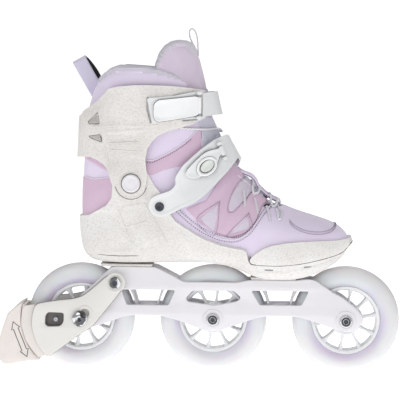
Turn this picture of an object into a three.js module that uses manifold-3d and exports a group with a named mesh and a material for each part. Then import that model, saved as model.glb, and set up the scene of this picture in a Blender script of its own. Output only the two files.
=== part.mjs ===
import * as THREE from 'three';
import Module from 'manifold-3d';
import { mergeVertices } from 'three/addons/utils/BufferGeometryUtils.js';

const wasm = await Module();
wasm.setup();

// Driving dimensions, in millimetres. +X toe, -Y outer side, +Z up, origin on the floor.
const wheelDiameter = 110;
const wheelWidth = 24;
const axleSpacing = 136;
const treadWidth = 6;
const treadFacets = 32;
const coreRadius = 35;
const bearingOuterRadius = 11;
const bearingBore = 4;
const bearingWidth = 7;
const spokeCount = 10;
const frameInner = 13.2;
const frameWall = 5;
const wheelClearance = 3;
const rearDeck = 108;
const frontDeck = 96;
const padArm = 2.8;
const brakePlate = 4;
const gap = 0.3;
const runningGap = 0.05;
const linerWall = 7;
const shellWall = 3.5;
const cuffWall = 3.6;
const strapWall = 2.6;
const footFloor = 8;
const heelHalfWidth = 34.5;
const ballHalfWidth = 46.5;
const ankleHalfWidth = 37.5;
const calfHalfWidth = 46.5;
const pivotX = -82.4;
const pivotZ = 195.5;
const flexForward = 8;
const flexBack = 2;

const wheelRadius = wheelDiameter / 2;
const axleXs = { rear: -axleSpacing, middle: 0, front: axleSpacing };
const axleZ = wheelRadius;
const frameOuter = frameInner + frameWall;
const rearX = axleXs.rear;
const wheelRoom = wheelRadius + wheelClearance;
const deg = Math.PI / 180;

const skate = new THREE.Group();
skate.name = 'inline_skate';

function finish(color, metalness = 0, roughness = 0.5) {
  return new THREE.MeshStandardMaterial({ color, metalness, roughness });
}

const finishes = {
  tyre: () => finish('#e2e0ea', 0, 0.35),
  hub: () => finish('#f2f2f4', 0, 0.35),
  steel: () => finish('#c3c6ca', 1, 0.25),
  dark: () => finish('#54565c', 1, 0.35),
  frame: () => finish('#efedf0', 0.1, 0.35),
  plate: () => finish('#e3e3de', 0.6, 0.35),
  pad: () => finish('#ede6e2', 0, 0.7),
  shell: () => finish('#e9e8e4', 0, 0.55),
  cuff: () => finish('#e6e3e0', 0, 0.55),
  lilac: () => finish('#e2d4ea', 0, 0.9),
  pink: () => finish('#dcc0d6', 0, 0.9),
  grey: () => finish('#c9c9de', 0, 0.9),
  strap: () => finish('#eef0f2', 0, 0.3),
  button: () => finish('#dfe6dc', 0, 0.3),
  tab: () => finish('#cfc8dc', 0, 0.8),
};

// Geometry and solid conversions
function solid(geometry) {
  const bare = new THREE.BufferGeometry();
  bare.setAttribute('position', geometry.getAttribute('position'));
  if (geometry.index) bare.setIndex(geometry.index);
  const welded = mergeVertices(bare, 1e-4);
  const vertProperties = Float32Array.from(welded.getAttribute('position').array);
  const triVerts = Uint32Array.from(welded.index.array);
  return oriented(vertProperties, triVerts);
}

function oriented(vertProperties, triVerts) {
  const corner = (i) => new THREE.Vector3(...vertProperties.slice(3 * triVerts[i], 3 * triVerts[i] + 3));
  let volume = 0;
  for (let i = 0; i < triVerts.length; i += 3) {
    volume += corner(i).dot(corner(i + 1).cross(corner(i + 2)));
  }
  const faces = volume < 0 ? triVerts.slice().reverse() : triVerts;
  const mesh = new wasm.Mesh({ numProp: 3, vertProperties, triVerts: faces });
  mesh.merge();
  return new wasm.Manifold(mesh);
}

function add(name, shape, material) {
  let body = shape.simplify(0.12);
  const parts = body.decompose();
  if (parts.length > 1) {
    parts.sort((a, b) => b.volume() - a.volume());
    body = parts[0];
  }
  const raw = body.getMesh();
  const geometry = new THREE.BufferGeometry();
  geometry.setAttribute('position', new THREE.BufferAttribute(raw.vertProperties.slice(), 3));
  geometry.setIndex(new THREE.BufferAttribute(raw.triVerts.slice(), 1));
  geometry.computeVertexNormals();
  const mesh = new THREE.Mesh(geometry, material);
  mesh.name = name;
  skate.add(mesh);
  return body;
}

// A side-view outline of [x, z] points carried along Y from y0 to y1.
function slab(points, y0, y1) {
  const shape = new THREE.Shape(points.map(([x, z]) => new THREE.Vector2(x, z)));
  const geometry = new THREE.ExtrudeGeometry(shape, { depth: y1 - y0, bevelEnabled: false });
  geometry.rotateX(Math.PI / 2);
  geometry.translate(0, y1, 0);
  return solid(geometry);
}

function bothSides(points, y0, y1) {
  return slab(points, y0, y1).add(slab(points, -y1, -y0));
}

function rod(x, z, radius, y0, y1, sides = 16) {
  const geometry = new THREE.CylinderGeometry(radius, radius, y1 - y0, sides);
  geometry.translate(x, (y0 + y1) / 2, z);
  return solid(geometry);
}

function pinBetween(from, to, radius, sides = 12) {
  const span = new THREE.Vector3().subVectors(to, from);
  const geometry = new THREE.CylinderGeometry(radius, radius, span.length(), sides);
  const turn = new THREE.Quaternion().setFromUnitVectors(
    new THREE.Vector3(0, 1, 0), span.clone().normalize(),
  );
  geometry.applyQuaternion(turn);
  geometry.translate(...new THREE.Vector3().addVectors(from, to).multiplyScalar(0.5).toArray());
  return solid(geometry);
}

function cord(points, radius, steps, closed = false) {
  const path = new THREE.CatmullRomCurve3(points.map((p) => new THREE.Vector3(...p)), closed);
  const ring = new THREE.Shape();
  ring.absarc(0, 0, radius, 0, 2 * Math.PI, false);
  const options = { steps, extrudePath: path, curveSegments: 4, bevelEnabled: false };
  return solid(new THREE.ExtrudeGeometry(ring, options));
}

function post(x, radius, z0, z1, sides = 14) {
  const geometry = new THREE.CylinderGeometry(radius, radius, z1 - z0, sides);
  geometry.rotateX(Math.PI / 2);
  geometry.translate(x, 0, (z0 + z1) / 2);
  return solid(geometry);
}

function block(x0, x1, y0, y1, z0, z1) {
  const geometry = new THREE.BoxGeometry(x1 - x0, y1 - y0, z1 - z0);
  geometry.translate((x0 + x1) / 2, (y0 + y1) / 2, (z0 + z1) / 2);
  return solid(geometry);
}

// [radius, y] pairs turned about the Y axis at x, z.
function turned(profile, x, z, sides = 24) {
  const points = profile.map(([r, y]) => new THREE.Vector2(r, y));
  points.push(points[0].clone());
  const geometry = new THREE.LatheGeometry(points, sides);
  geometry.rotateY(Math.PI / sides + Math.PI / 2);
  geometry.translate(x, 0, z);
  return solid(geometry);
}

function disc(cx, cz, radius, from, to, count) {
  const ring = [];
  for (let i = 0; i <= count; i += 1) {
    const a = (from + ((to - from) * i) / count) * deg;
    ring.push([cx + radius * Math.cos(a), cz + radius * Math.sin(a)]);
  }
  return ring;
}

// Wheels: a cast tyre on a spoked core, two bearings and a spacer on each axle.
function tyreProfile() {
  const r = wheelRadius / Math.cos(Math.PI / treadFacets);
  const w = wheelWidth / 2;
  const half = [
    [coreRadius + gap, w - 3.2],
    [r - 12, w],
    [r - 4.2, w - 2.2],
    [r, treadWidth / 2],
  ];
  return [...half, ...half.slice().reverse().map(([a, y]) => [a, -y])];
}

function wheelCore(x) {
  const w = wheelWidth / 2;
  const rim = turned([
    [coreRadius, w - 3.2], [coreRadius, -w + 3.2],
    [coreRadius - 3.6, -w + 2.6], [coreRadius - 3.6, w - 2.6],
  ], x, axleZ, 24);
  const seat = turned([
    [14.2, w - 0.4], [14.2, -w + 0.4],
    [bearingOuterRadius + runningGap, -w + 0.4], [bearingOuterRadius + runningGap, w - 0.4],
  ], x, axleZ, 16);
  let core = rim.add(seat);
  for (let i = 0; i < spokeCount; i += 1) {
    const spoke = block(13.2, 32.2, -6.5, 6.5, -1.6, 1.6).rotate([0, (i * 360) / spokeCount + 9, 0]);
    core = core.add(spoke.translate([x, 0, axleZ]));
  }
  return core;
}

function bearing(x, side) {
  const y1 = wheelWidth / 2;
  const y0 = y1 - bearingWidth;
  const ring = [
    [bearingOuterRadius, y0], [bearingOuterRadius, y1],
    [bearingBore + runningGap, y1], [bearingBore + runningGap, y0],
  ].map(([r, y]) => [r, side * y]);
  return turned(side > 0 ? ring : ring.reverse(), x, axleZ, 16);
}

const bossFace = { rear: frameOuter, middle: frameOuter + 1.2, front: frameOuter + 1.2 };
const bossSeat = wheelWidth / 2 + gap;

function axle(x, name) {
  const seat = name === 'rear' ? frameOuter + 0.4 + padArm + 0.4 + brakePlate : bossFace[name];
  const out = seat + gap;
  const headR = name === 'rear' ? 8.2 : 6;
  const head = name === 'rear' ? 5 : 3;
  const shaft = bearingBore - runningGap;
  const bolt = turned([
    [0.001, out], [shaft, out], [shaft, -out], [headR, -out], [headR, -out - head + 1.2],
    [headR - 1.6, -out - head], [0.001, -out - head],
  ].reverse(), x, axleZ, 14);
  const solidShaft = rod(x, axleZ, shaft - 0.4, -out - 0.4, out, 10);
  const nut = rod(x, axleZ, headR - 0.4, out - 0.001, out + head - 0.6, 14);
  const socket = rod(x, axleZ, 2.6, -out - head - 1, -out - head + 2.4, 6);
  return bolt.add(solidShaft).add(nut).subtract(socket);
}

for (const [name, x] of Object.entries(axleXs)) {
  const tyre = turned(tyreProfile(), x, axleZ, treadFacets);
  const core = wheelCore(x);
  add(`${name}_tyre`, tyre, finishes.tyre());
  add(`${name}_hub`, core, finishes.hub());
  add(`${name}_bearing_outer`, bearing(x, -1), finishes.steel());
  add(`${name}_bearing_inner`, bearing(x, 1), finishes.steel());
  const sleeve = wheelWidth / 2 - bearingWidth - 0.05;
  const spacer = turned([
    [7, sleeve], [7, -sleeve], [bearingBore + 0.4, -sleeve], [bearingBore + 0.4, sleeve],
  ], x, axleZ, 12);
  add(`${name}_spacer`, spacer, finishes.steel());
  add(`${name}_axle`, axle(x, name), finishes.steel());
}

// Frame: two side walls joined between the wheels and under both boot decks.
const wallOutline = [
  [rearX + 13, 89.6], [-109.6, 102.7], [-103.3, rearDeck], [-60.8, rearDeck], [-56.8, rearDeck - 1.2],
  [-30.2, 93], [25.2, 93], [34, frontDeck - 0.6], [39.6, frontDeck], [84, frontDeck],
  [93.3, frontDeck + 1.4], [102.5, frontDeck + 1.4], [110.8, 92.2], [122.9, 83.9], [131.8, 79.7],
  [146.7, 67.8], [153.6, 59.4], [153.2, 53.6], [147.8, 47.6], [139.9, 43.4], [129.1, 44.9],
  [107.3, 52.8], [85.6, 59], [56, 59], [43.6, 56.9], [29.8, 51.5], [17.2, 47.2], [9.7, 43.8],
  [0.3, 42.4], [-9.3, 43.8], [-18.8, 46.9], [-29.4, 51.1], [-42.2, 55.3], [-53.6, 58.2],
  [-80.7, 58], [-88.8, 57.4], [-101.5, 52.7], [-120, 46], [rearX, 42.5],
  [rearX - 9, 46], [rearX - 12.5, 55], [rearX - 9, 66], [rearX, 78],
];
const windows = {
  rear: [[-94.1, 84.3], [-39, 84.5], [-45.7, 69], [-88.4, 68.8]],
  middle: [[-20.9, 84.2], [21.4, 84.4], [28.7, 77.6], [24.5, 73.8], [1.3, 69.2], [-26.2, 73], [-27.8, 76.6]],
  front: [[39.3, 85], [97.8, 85], [90.3, 70.5], [48, 70.2]],
};
let frame = bothSides(wallOutline, frameInner, frameOuter);
for (const opening of Object.values(windows)) {
  frame = frame.subtract(slab(opening, -frameOuter - 2, frameOuter + 2));
}
// Cross walls follow the wheels, closed by the decks the boot is bolted to.
const webs = {
  rear: [[-109, 102], [-103.3, rearDeck], [-60.8, rearDeck], [-32, 94], [-32, 59], [-109, 59]],
  front: [[31, 93], [39.6, frontDeck], [93, frontDeck], [109, 93], [109, 59], [31, 59]],
};
const hollows = {
  rear: [
    [-91, rearDeck - 4.8], [-60, rearDeck - 4.8], [-47.5, 96.5], [-53.5, 84], [-61, 59], [-61, 50],
    [-75, 50], [-75, 59], [-82.3, 84], [-92, 101],
  ],
  front: [
    [49, frontDeck - 4.8], [87, frontDeck - 4.8], [82.3, 84], [75, 59], [75, 50], [61, 50], [61, 59],
    [53.7, 84],
  ],
};
for (const key of ['rear', 'front']) {
  let web = slab(webs[key], -frameInner - 0.6, frameInner + 0.6);
  for (const x of Object.values(axleXs)) {
    web = web.subtract(rod(x, axleZ, wheelRoom, -20, 20, 24));
  }
  const hollow = slab(hollows[key], -frameInner - 1, frameInner + 1);
  frame = frame.add(web.subtract(hollow));
}
for (const [name, x] of Object.entries(axleXs)) {
  const face = bossFace[name];
  const boss = rod(x, axleZ, 10.2, bossSeat, face).add(rod(x, axleZ, 10.2, -face, -bossSeat));
  const throat = rod(x, axleZ, 7.4, bossSeat - 0.1, frameInner);
  frame = frame.add(boss.add(throat));
  frame = frame.subtract(rod(x, axleZ, bearingBore + 0.1, -30, 30, 16));
}
const frontBolt = { x: -99.8, z: 92.4 };
frame = frame.subtract(rod(frontBolt.x, frontBolt.z, 3.3, -40, 40, 14));
const deckBolts = { rear: [-82, rearDeck], front: [62, frontDeck] };
for (const [x, z] of Object.values(deckBolts)) {
  frame = frame.subtract(post(x, 4.2, z - 12, z + 4));
}
add('frame', frame, finishes.frame());

function deckBolt(x, deck) {
  const floor = deck - 4.8;
  return post(x, 3.9, floor - 0.5, deck + 4.4).add(post(x, 6.4, floor - 3.4, floor - 0.3));
}

// Heel brake: side plates on the rear axle and a swinging pad behind the wheel.
const armIn = frameOuter + 0.4;
const armOut = armIn + padArm;
const plateIn = armOut + 0.4;
const plateOut = plateIn + brakePlate;
const padFace = wheelRoom + 3;
const plateOutline = [
  [-94, 98.4], [-100.5, 101.6], [-108.5, 98.8], [-122.6, 86.2], [-132.8, 77.9], [-142.8, 74.8],
  [-161.8, 72.7], [-181.7, 69.1], [-185, 58], [-185.6, 46], [-182, 32.5], [-176.6, 22.6],
  [-170.1, 14.5], [-165.2, 16.6], [-152.1, 26.7], [-137.1, 37.8], [-126, 44.9], [-122.1, 48],
  [-112, 61], [-102.1, 73.1], [-93.1, 85.1], [-89.6, 91.6],
];
const lockBolt = { x: -160.6, z: 53.6 };
const plateWindow = [[-171, 48], [-153.4, 48], [-153.4, 60.6], [-171, 60.6]];
const axleHole = (r) => rod(rearX, axleZ, r, -40, 40, 14);
const frontHole = (r) => rod(frontBolt.x, frontBolt.z, r, -40, 40, 14);
for (const [name, side] of [['outer', -1], ['inner', 1]]) {
  const y = side > 0 ? [plateIn, plateOut] : [-plateOut, -plateIn];
  let plate = slab(plateOutline, ...y);
  const foot = side > 0 ? [frameOuter + gap, plateIn + 0.1] : [-plateIn - 0.1, -frameOuter - gap];
  plate = plate.add(rod(frontBolt.x, frontBolt.z, 8, ...foot));
  plate = plate.subtract(axleHole(bearingBore + 0.1)).subtract(frontHole(3.2));
  plate = plate.subtract(slab(plateWindow, -30, 30));
  add(`brake_plate_${name}`, plate, finishes.plate());
}

const padOutline = [
  [-183, 68.9], [-199.6, 68.1], [-202.4, 66.3], [-211.1, 58.3], [-215.1, 47.6], [-218.6, 36.2],
  [-221.3, 26.1], [-221.4, 18.7], [-219.5, 10], [-215.5, 5.6], [-209.4, 5.2], [-189.4, 9.2],
  [-173, 12.7], [-160, 24], [-160, 66],
];
const padBlock = slab(padOutline, -armOut, armOut);
add('brake_pad', padBlock.subtract(rod(rearX, axleZ, padFace + gap, -40, 40, 36)), finishes.pad());
const armOutline = [
  [-183, 68.6], [-203, 68.6], [-203, 12], [-176, 12], [-168, 19], [-150, 31], [-140, 44],
  [-126, 46], [-124.6, 55], [-126, 64], [-136, 68], [-150, 69],
];
let holder = bothSides(armOutline, armIn, armOut).intersect(rod(rearX, axleZ, padFace, -40, 40, 36));
const behind = slab([[-203, 66.6], [-180, 66.6], [-172, 16], [-203, 12.6]], -armIn - 0.2, armIn + 0.2);
const strip = rod(rearX, axleZ, padFace, -armOut, armOut, 36).subtract(rod(rearX, axleZ, wheelRoom, -40, 40, 36));
holder = holder.add(strip.intersect(behind)).subtract(axleHole(bearingBore + 0.1));
holder = holder.subtract(rod(lockBolt.x, lockBolt.z, 3.2, -40, 40, 14));
add('brake_pad_holder', holder, finishes.pad());
const lockReach = plateOut - 0.6;
for (const [name, side] of [['outer', -1], ['inner', 1]]) {
  const y = side > 0 ? [armIn - 2, lockReach] : [-lockReach, -armIn + 2];
  const cap = side > 0 ? [armOut + 0.1, lockReach] : [-lockReach, -armOut - 0.1];
  const pin = rod(lockBolt.x, lockBolt.z, 3, ...y, 10).add(rod(lockBolt.x, lockBolt.z, 3.6, ...cap, 12));
  add(`brake_lock_bolt_${name}`, pin, finishes.dark());
}
for (const [name, side] of [['outer', -1], ['inner', 1]]) {
  const y = side > 0 ? [frameInner + 0.2, plateOut + 0.4] : [-plateOut - 0.4, -frameInner - 0.2];
  const cap = side > 0 ? [plateOut + gap, plateOut + 3] : [-plateOut - 3, -plateOut - gap];
  const pin = rod(frontBolt.x, frontBolt.z, 3, ...y, 10).add(rod(frontBolt.x, frontBolt.z, 6.2, ...cap, 14));
  add(`brake_front_bolt_${name}`, pin, finishes.steel());
}

// Boot: sections run from a near point on the instep to a far point on the sole or heel.
// Each row is [near x, near z, far x, far z, squareness near, squareness far].
const sections = [
  [137.6, 139, 137, 133, 0.8, 0.8],
  [134.6, 145.4, 134.6, 128, 0.75, 0.6],
  [128, 151.5, 128, 121.5, 0.7, 0.5],
  [118, 156.6, 118, 114.5, 0.7, 0.42],
  [104, 161, 104, 107.8, 0.72, 0.4],
  [89, 165.6, 89, 103, 0.75, 0.4],
  [74, 170.8, 74, 101.4, 0.78, 0.4],
  [60, 178.8, 48, 101.6, 0.8, 0.4],
  [42, 191.2, 20, 114, 0.82, 0.42],
  [29, 204.4, -20, 117.6, 0.84, 0.42],
  [22.4, 215.4, -60, 115.4, 0.85, 0.42],
  [18.2, 221.6, -95, 114.2, 0.86, 0.42],
  [15.8, 226.2, -121, 115.6, 0.86, 0.5],
  [14, 229.6, -132, 125, 0.86, 0.6],
  [11, 234, -135.2, 150, 0.86, 0.62],
  [7.6, 240.6, -135.6, 180, 0.86, 0.6],
  [4.4, 247.4, -134, 210, 0.86, 0.6],
  [1, 254.8, -132, 237, 0.86, 0.62],
  [-3.4, 263.6, -131.5, 262, 0.84, 0.66],
  [-7, 280, -126.6, 280, 0.82, 0.7],
  [-11.4, 300, -119, 300, 0.82, 0.72],
  [-16, 318, -112.6, 318, 0.82, 0.74],
  [-24, 342, -106, 342, 0.82, 0.76],
];
const footWidths = [[-136, 0.95], [-110, 1], [-60, 1.02], [-10, 1.1], [40, 1.28], [70, 1.348], [98, 1.27], [113, 1.12], [124, 0.9], [132, 0.66], [136, 0.44], [138.4, 0.28]];
const shaftWidths = [[150, 1], [195, 1], [240, 1.12], [290, 1.24], [345, 1.26]];

function along(table, at) {
  const last = table.length - 1;
  if (at <= table[0][0]) return table[0][1];
  if (at >= table[last][0]) return table[last][1];
  const i = table.findIndex((row) => row[0] > at);
  const [a, b] = [table[i - 1], table[i]];
  return a[1] + ((b[1] - a[1]) * (at - a[0])) / (b[0] - a[0]);
}

function halfWidth(x, z) {
  const footSpan = (ballHalfWidth / heelHalfWidth - 1) / 0.348;
  const foot = heelHalfWidth * (1 + (along(footWidths, x) - 1) * footSpan);
  const shaftSpan = (calfHalfWidth / ankleHalfWidth - 1) / 0.24;
  const shaft = ankleHalfWidth * (1 + (along(shaftWidths, z) - 1) * shaftSpan);
  const t = Math.min(1, Math.max(0, (z - 148) / 44));
  const blend = t * t * (3 - 2 * t);
  return foot + (shaft - foot) * blend;
}

function sectionAt(s) {
  const i = Math.min(sections.length - 2, Math.floor(s));
  return sections[i].map((value, k) => value + (sections[i + 1][k] - value) * (s - i));
}

// A point of the boot surface, t out from the foot liner's own surface.
function bootPoint(row, angle, t) {
  const [nx, nz, fx, fz, near, far] = row;
  const long = Math.hypot(fx - nx, fz - nz);
  const [ux, uz] = [(fx - nx) / long, (fz - nz) / long];
  const c = -Math.cos(angle);
  const square = near + (far - near) * (0.5 + 0.5 * c);
  const v = long / 2 + (long / 2 + t) * Math.sign(c) * Math.abs(c) ** (0.75 + 0.25 * square);
  const x = nx + ux * v;
  const z = nz + uz * v;
  const y = (halfWidth(x, z) + t) * Math.sign(Math.sin(angle)) * Math.abs(Math.sin(angle)) ** square;
  return [x, y, z];
}

function bootSolid(t, around = 16) {
  const rows = sections.map((row) => row.slice());
  const first = rows[0];
  first[0] += t;
  first[2] += t;
  if (t > 0) first[1] += t / 2;
  rows[rows.length - 1][1] += 6;
  rows[rows.length - 1][3] += 6;
  if (t < 0) {
    rows[0][0] += 2;
    rows[0][2] += 2;
  }
  const points = [];
  for (const row of rows) {
    for (let k = 0; k < around; k += 1) {
      points.push(...bootPoint(row, (2 * Math.PI * k) / around, t));
    }
  }
  const faces = [];
  const at = (i, k) => i * around + (k % around);
  for (let i = 0; i + 1 < rows.length; i += 1) {
    for (let k = 0; k < around; k += 1) {
      faces.push(at(i, k), at(i + 1, k), at(i + 1, k + 1), at(i, k), at(i + 1, k + 1), at(i, k + 1));
    }
  }
  for (let k = 1; k + 1 < around; k += 1) {
    faces.push(at(0, 0), at(0, k), at(0, k + 1));
    faces.push(at(rows.length - 1, 0), at(rows.length - 1, k + 1), at(rows.length - 1, k));
  }
  return oriented(Float32Array.from(points), Uint32Array.from(faces));
}

// Outer-side Y of the boot surface seen at x, z, with t added outwards.
function sideY(x, z, t) {
  const offLine = (s) => {
    const [nx, nz, fx, fz] = sectionAt(s);
    return (fx - nx) * (z - nz) - (fz - nz) * (x - nx);
  };
  let [lo, hi] = [0, sections.length - 1.001];
  const sign = Math.sign(offLine(lo));
  for (let i = 0; i < 40; i += 1) {
    const mid = (lo + hi) / 2;
    if (Math.sign(offLine(mid)) === sign) lo = mid;
    else hi = mid;
  }
  const row = sectionAt((lo + hi) / 2);
  let best = [Infinity, 0];
  for (let a = 0.01; a < Math.PI; a += 0.01) {
    const p = bootPoint(row, a, t);
    const miss = Math.hypot(p[0] - x, p[2] - z);
    if (miss < best[0]) best = [miss, p[1]];
  }
  return -best[1];
}

const layers = new Map();
function bootLayer(t) {
  if (!layers.has(t)) layers.set(t, bootSolid(t));
  return layers.get(t);
}
function skin(inner, outer) {
  return bootLayer(outer).subtract(bootLayer(inner));
}

// The boot's flex line: wedges about the cuff pivot keep what bends apart.
const reach = 260;
const ray = (angle, lift = 0) => [
  pivotX + reach * Math.cos(angle * deg), pivotZ + lift + reach * Math.sin(angle * deg),
];
const frontLow = 29;
const frontHigh = frontLow + flexForward + 1.5;
const backHigh = 180 - flexBack - 2;
const below = slab([[pivotX, pivotZ], ray(frontLow), [260, 60], [-260, 60], ray(180)], -80, 80);
const above = slab([
  [pivotX, pivotZ + 1.5], ray(frontHigh, 1.5), [120, 420], [-260, 420], ray(backHigh, 1.5),
], -80, 80);

// Tongue: the front of the soft liner, split where the boot flexes.
const tongueBack = [[30, 176], [22, 190], [12, 204], [4, 218], [-8, 240], [-15, 260], [-22, 282], [-28, 304], [-48, 318]];
const tongueZone = [...tongueBack, [-64, 318], [-64, 346], [60, 346], [60, 176]];
const tongueTop = [
  [-18, 330], [-23.3, 335.7], [-28.5, 338.8], [-33.6, 339.3], [-40.9, 337.8], [-48.2, 333.7],
  [-54.4, 326.5], [-58.6, 316.1], [-60, 305], [-60, 150], [80, 150], [80, 260], [-8, 308],
];
const liner = skin(-linerWall, 0);
const tongue = liner.intersect(slab(tongueZone, -80, 80)).intersect(slab(tongueTop, -80, 80));
add('tongue_lower', tongue.intersect(below), finishes.grey());
add('tongue_upper', tongue.intersect(above), finishes.lilac());
const zoneGap = tongueBack.map(([x, z]) => [x - 0.45, z - 0.2]);
const tongueRoom = slab([...zoneGap, [-80, 318], [-80, 350], [70, 350], [62, 174.6]], -80, 80);
const boot = liner.subtract(tongueRoom);
const collarTop = [[-64, 312.6], [-77.3, 313.5], [-96, 314.6], [-106.4, 310.9], [-116.4, 303], [-160, 296], [-160, 150], [60, 150], [60, 300], [-20, 300]];
add('upper', boot.intersect(below), finishes.lilac());
add('collar', boot.intersect(above).intersect(slab(collarTop, -80, 80)), finishes.lilac());

// Insole inside the upper
const insoleThick = 4;
const inside = bootLayer(-linerWall - 0.4);
const insoleZone = [
  [-122, 132], [-60, 130], [-20, 132], [14, 127], [44, 118], [70, 115], [90, 116], [112, 124], [112, 100],
  [-122, 100],
];
const insole = inside.subtract(inside.translate([0, 0, insoleThick])).intersect(slab(insoleZone, -80, 80));
add('insole', insole, finishes.grey());

// Shell: stiff heel and side walls over a rockered sole
const soleLow = [
  [-122, rearDeck + gap], [-57, rearDeck + gap], [-48, 113.4], [-34, 115.4], [-12, 114.8], [8, 109],
  [26, 99.4], [34, frontDeck + gap], [86, frontDeck + gap], [99.7, 103], [112, 110.6],
  [124.5, 119], [136, 128.2], [142, 134.2], [150, 136.2],
];
const shellTop = [
  [150, 138.4], [141, 136], [133, 127], [124.4, 123.5], [109.2, 119.9], [88.9, 115.7], [68.6, 113.5],
  [50.3, 113.4], [39, 114.1], [36.5, 117.2], [33.9, 127.4], [29.8, 129.5], [22.7, 130.4],
  [7.4, 133.4], [-6.9, 138.5], [-17.1, 143.6], [-27.3, 150.2], [-37.5, 156.8], [-43.6, 164.9],
  [-53.8, 186.9], [-58.9, 192.5], [-64, 201.7], [-70, 212], [-82, 216], [-94, 211],
  [-101.8, 196], [-102.9, 179.6], [-108, 172.4], [-118.3, 166.2], [-127.6, 161], [-160, 157],
];
const heelBottom = [[-160, 130], [-141, 123], [-136.6, 115.6], [-129, 110.4]];
const shellOutline = [...shellTop, ...heelBottom, ...soleLow];
const footRoom = slab([
  [-200, 60], [-200, 230], [200, 230], [200, 60],
], -80, 80);
const shellOut = shellWall + gap;
let sole = bootLayer(shellOut + 8).intersect(slab(shellOutline, -80, 80));
const trim = bootLayer(shellOut + 0.001);
const lowTrim = trim.intersect(block(-200, 200, -80, 80, 60, 128));
const trimTall = trim.add(lowTrim.translate([0, 0, -5])).add(lowTrim.translate([0, 0, -9]));
sole = sole.intersect(trimTall).subtract(bootLayer(gap).intersect(footRoom));
const lobeFlat = ankleHalfWidth + 4.4;
for (const side of [-1, 1]) {
  const y = side > 0 ? [lobeFlat, 80] : [-80, -lobeFlat];
  sole = sole.subtract(rod(pivotX, pivotZ, 34, ...y, 40));
}
const pivotHole = (r) => rod(pivotX, pivotZ, r, -80, 80, 24);
sole = sole.subtract(pivotHole(5));
for (const x of Object.values(axleXs)) {
  sole = sole.subtract(rod(x, axleZ, wheelRoom, -wheelWidth / 2 - 4, wheelWidth / 2 + 4, 24));
}
for (const [x, z] of Object.values(deckBolts)) {
  sole = sole.subtract(post(x, 4.2, z - 1, z + 7));
}
add('boot_shell', sole, finishes.shell());
for (const [name, [x, z]] of Object.entries(deckBolts)) {
  add(`${name}_mount_bolt`, deckBolt(x, z), finishes.dark());
}

const toeTop = [
  [37.5, 119.8], [44.1, 125.9], [52.2, 131.6], [60.4, 134.7], [73.6, 137.3], [88.8, 138.8],
  [109.1, 139.5], [124.3, 139.3], [135.5, 140.2], [142, 142], [160, 144],
];
const toeLow = [
  [160, 140.6], [150, 139], [141, 136.6], [133, 127.6], [124.4, 124.1], [109.2, 120.5], [88.9, 116.3], [68.6, 114.1],
  [50.3, 114], [39.6, 114.6], [37.2, 117.4],
];
const toeWall = shellWall - 0.2;
const toe = skin(gap, gap + toeWall).intersect(slab([...toeTop, ...toeLow], -80, 80));
add('toe_cap', toe, finishes.shell());

// Cuff: a C-shaped collar of stiff plastic hinged at the ankle
const cuffOutline = [
  [-160, 258], [-136, 262.8], [-132.5, 267.9], [-118, 277], [-111, 284.1], [-105.9, 290.2],
  [-95.8, 292.7], [-78.5, 294.3], [-63.3, 294.3], [-43.1, 293.8], [-22.8, 291.8], [-9, 289.3],
  [-8, 262], [-23, 254.6], [-35.1, 251.2], [-47.3, 247.7], [-55.5, 243.6], [-61.6, 237.5],
  [-66.2, 230.4], [-68.2, 220.2], [-67.7, 212.1], [-66.2, 204], [-67.3, 195.8], [-69.3, 186.6],
  [-74.9, 180.7], [-82.5, 178.7], [-90.2, 180.9], [-96.4, 186.5], [-100.4, 195.7],
  [-102.4, 201.8], [-105.5, 207.9], [-110.5, 214], [-117.7, 218.6], [-124.8, 221.1], [-160, 219.4],
];
const cuffIn = shellOut + 0.6;
const cuffOut = cuffIn + cuffWall;
const cuffArea = slab(cuffOutline, -80, 80);
const legFlat = lobeFlat + 0.5;
const legOut = legFlat + 4;
let cuff = skin(cuffIn, cuffOut).intersect(cuffArea);
for (const side of [-1, 1]) {
  const y = side > 0 ? [0, legFlat] : [-legFlat, 0];
  cuff = cuff.subtract(rod(pivotX, pivotZ, 36, ...y, 40));
  const leg = side > 0 ? [legFlat, legOut] : [-legOut, -legFlat];
  cuff = cuff.add(rod(pivotX, pivotZ, 27, ...leg, 40).intersect(cuffArea));
}
cuff = cuff.subtract(pivotHole(5));
add('cuff', cuff, finishes.cuff());
for (const [name, side] of [['outer', -1], ['inner', 1]]) {
  const y0 = ankleHalfWidth + 0.4;
  const cap = legOut + gap;
  const y = side > 0 ? [y0, cap + 1] : [-cap - 1, -y0];
  const head = side > 0 ? [cap, cap + 3] : [-cap - 3, -cap];
  const pin = rod(pivotX, pivotZ, 5 - runningGap, ...y).add(rod(pivotX, pivotZ, 9.2, ...head, 32));
  add(`cuff_pivot_${name}`, pin, finishes.steel());
}

// Cuff buckle and strap, closed round the tongue
const outerHalf = block(-300, 300, -90, 0, -10, 400);
const baseOut = cuffOut + gap + 2.4;
const leverIn = baseOut + 0.6;
const leverOut = leverIn + 3;
const baseOutline = [
  [-66, 281.4], [-40, 284], [-19, 288.2], [-11.4, 288.2], [-11.4, 260.8], [-19, 260.8], [-40, 259.6], [-61, 257],
];
const cuffPinX = -14.6;
const cuffPinY = sideY(cuffPinX, 274.6, leverIn + 2.5);
const upright = (radius, z0, z1) => pinBetween(
  new THREE.Vector3(cuffPinX, cuffPinY, z0), new THREE.Vector3(cuffPinX, cuffPinY, z1), radius,
);
const ears = slab([[-19, 288.2], [-11.4, 288.2], [-11.4, 285.4], [-19, 285.4]], -80, 80)
  .add(slab([[-19, 263.4], [-11.4, 263.4], [-11.4, 260.8], [-19, 260.8]], -80, 80));
const base = skin(cuffOut + gap, baseOut).intersect(slab(baseOutline, -80, 80))
  .add(skin(cuffOut + gap, leverOut + 2).intersect(ears))
  .intersect(outerHalf);
const barrelRoom = upright(4.4, 263.9, 284.9);
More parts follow.
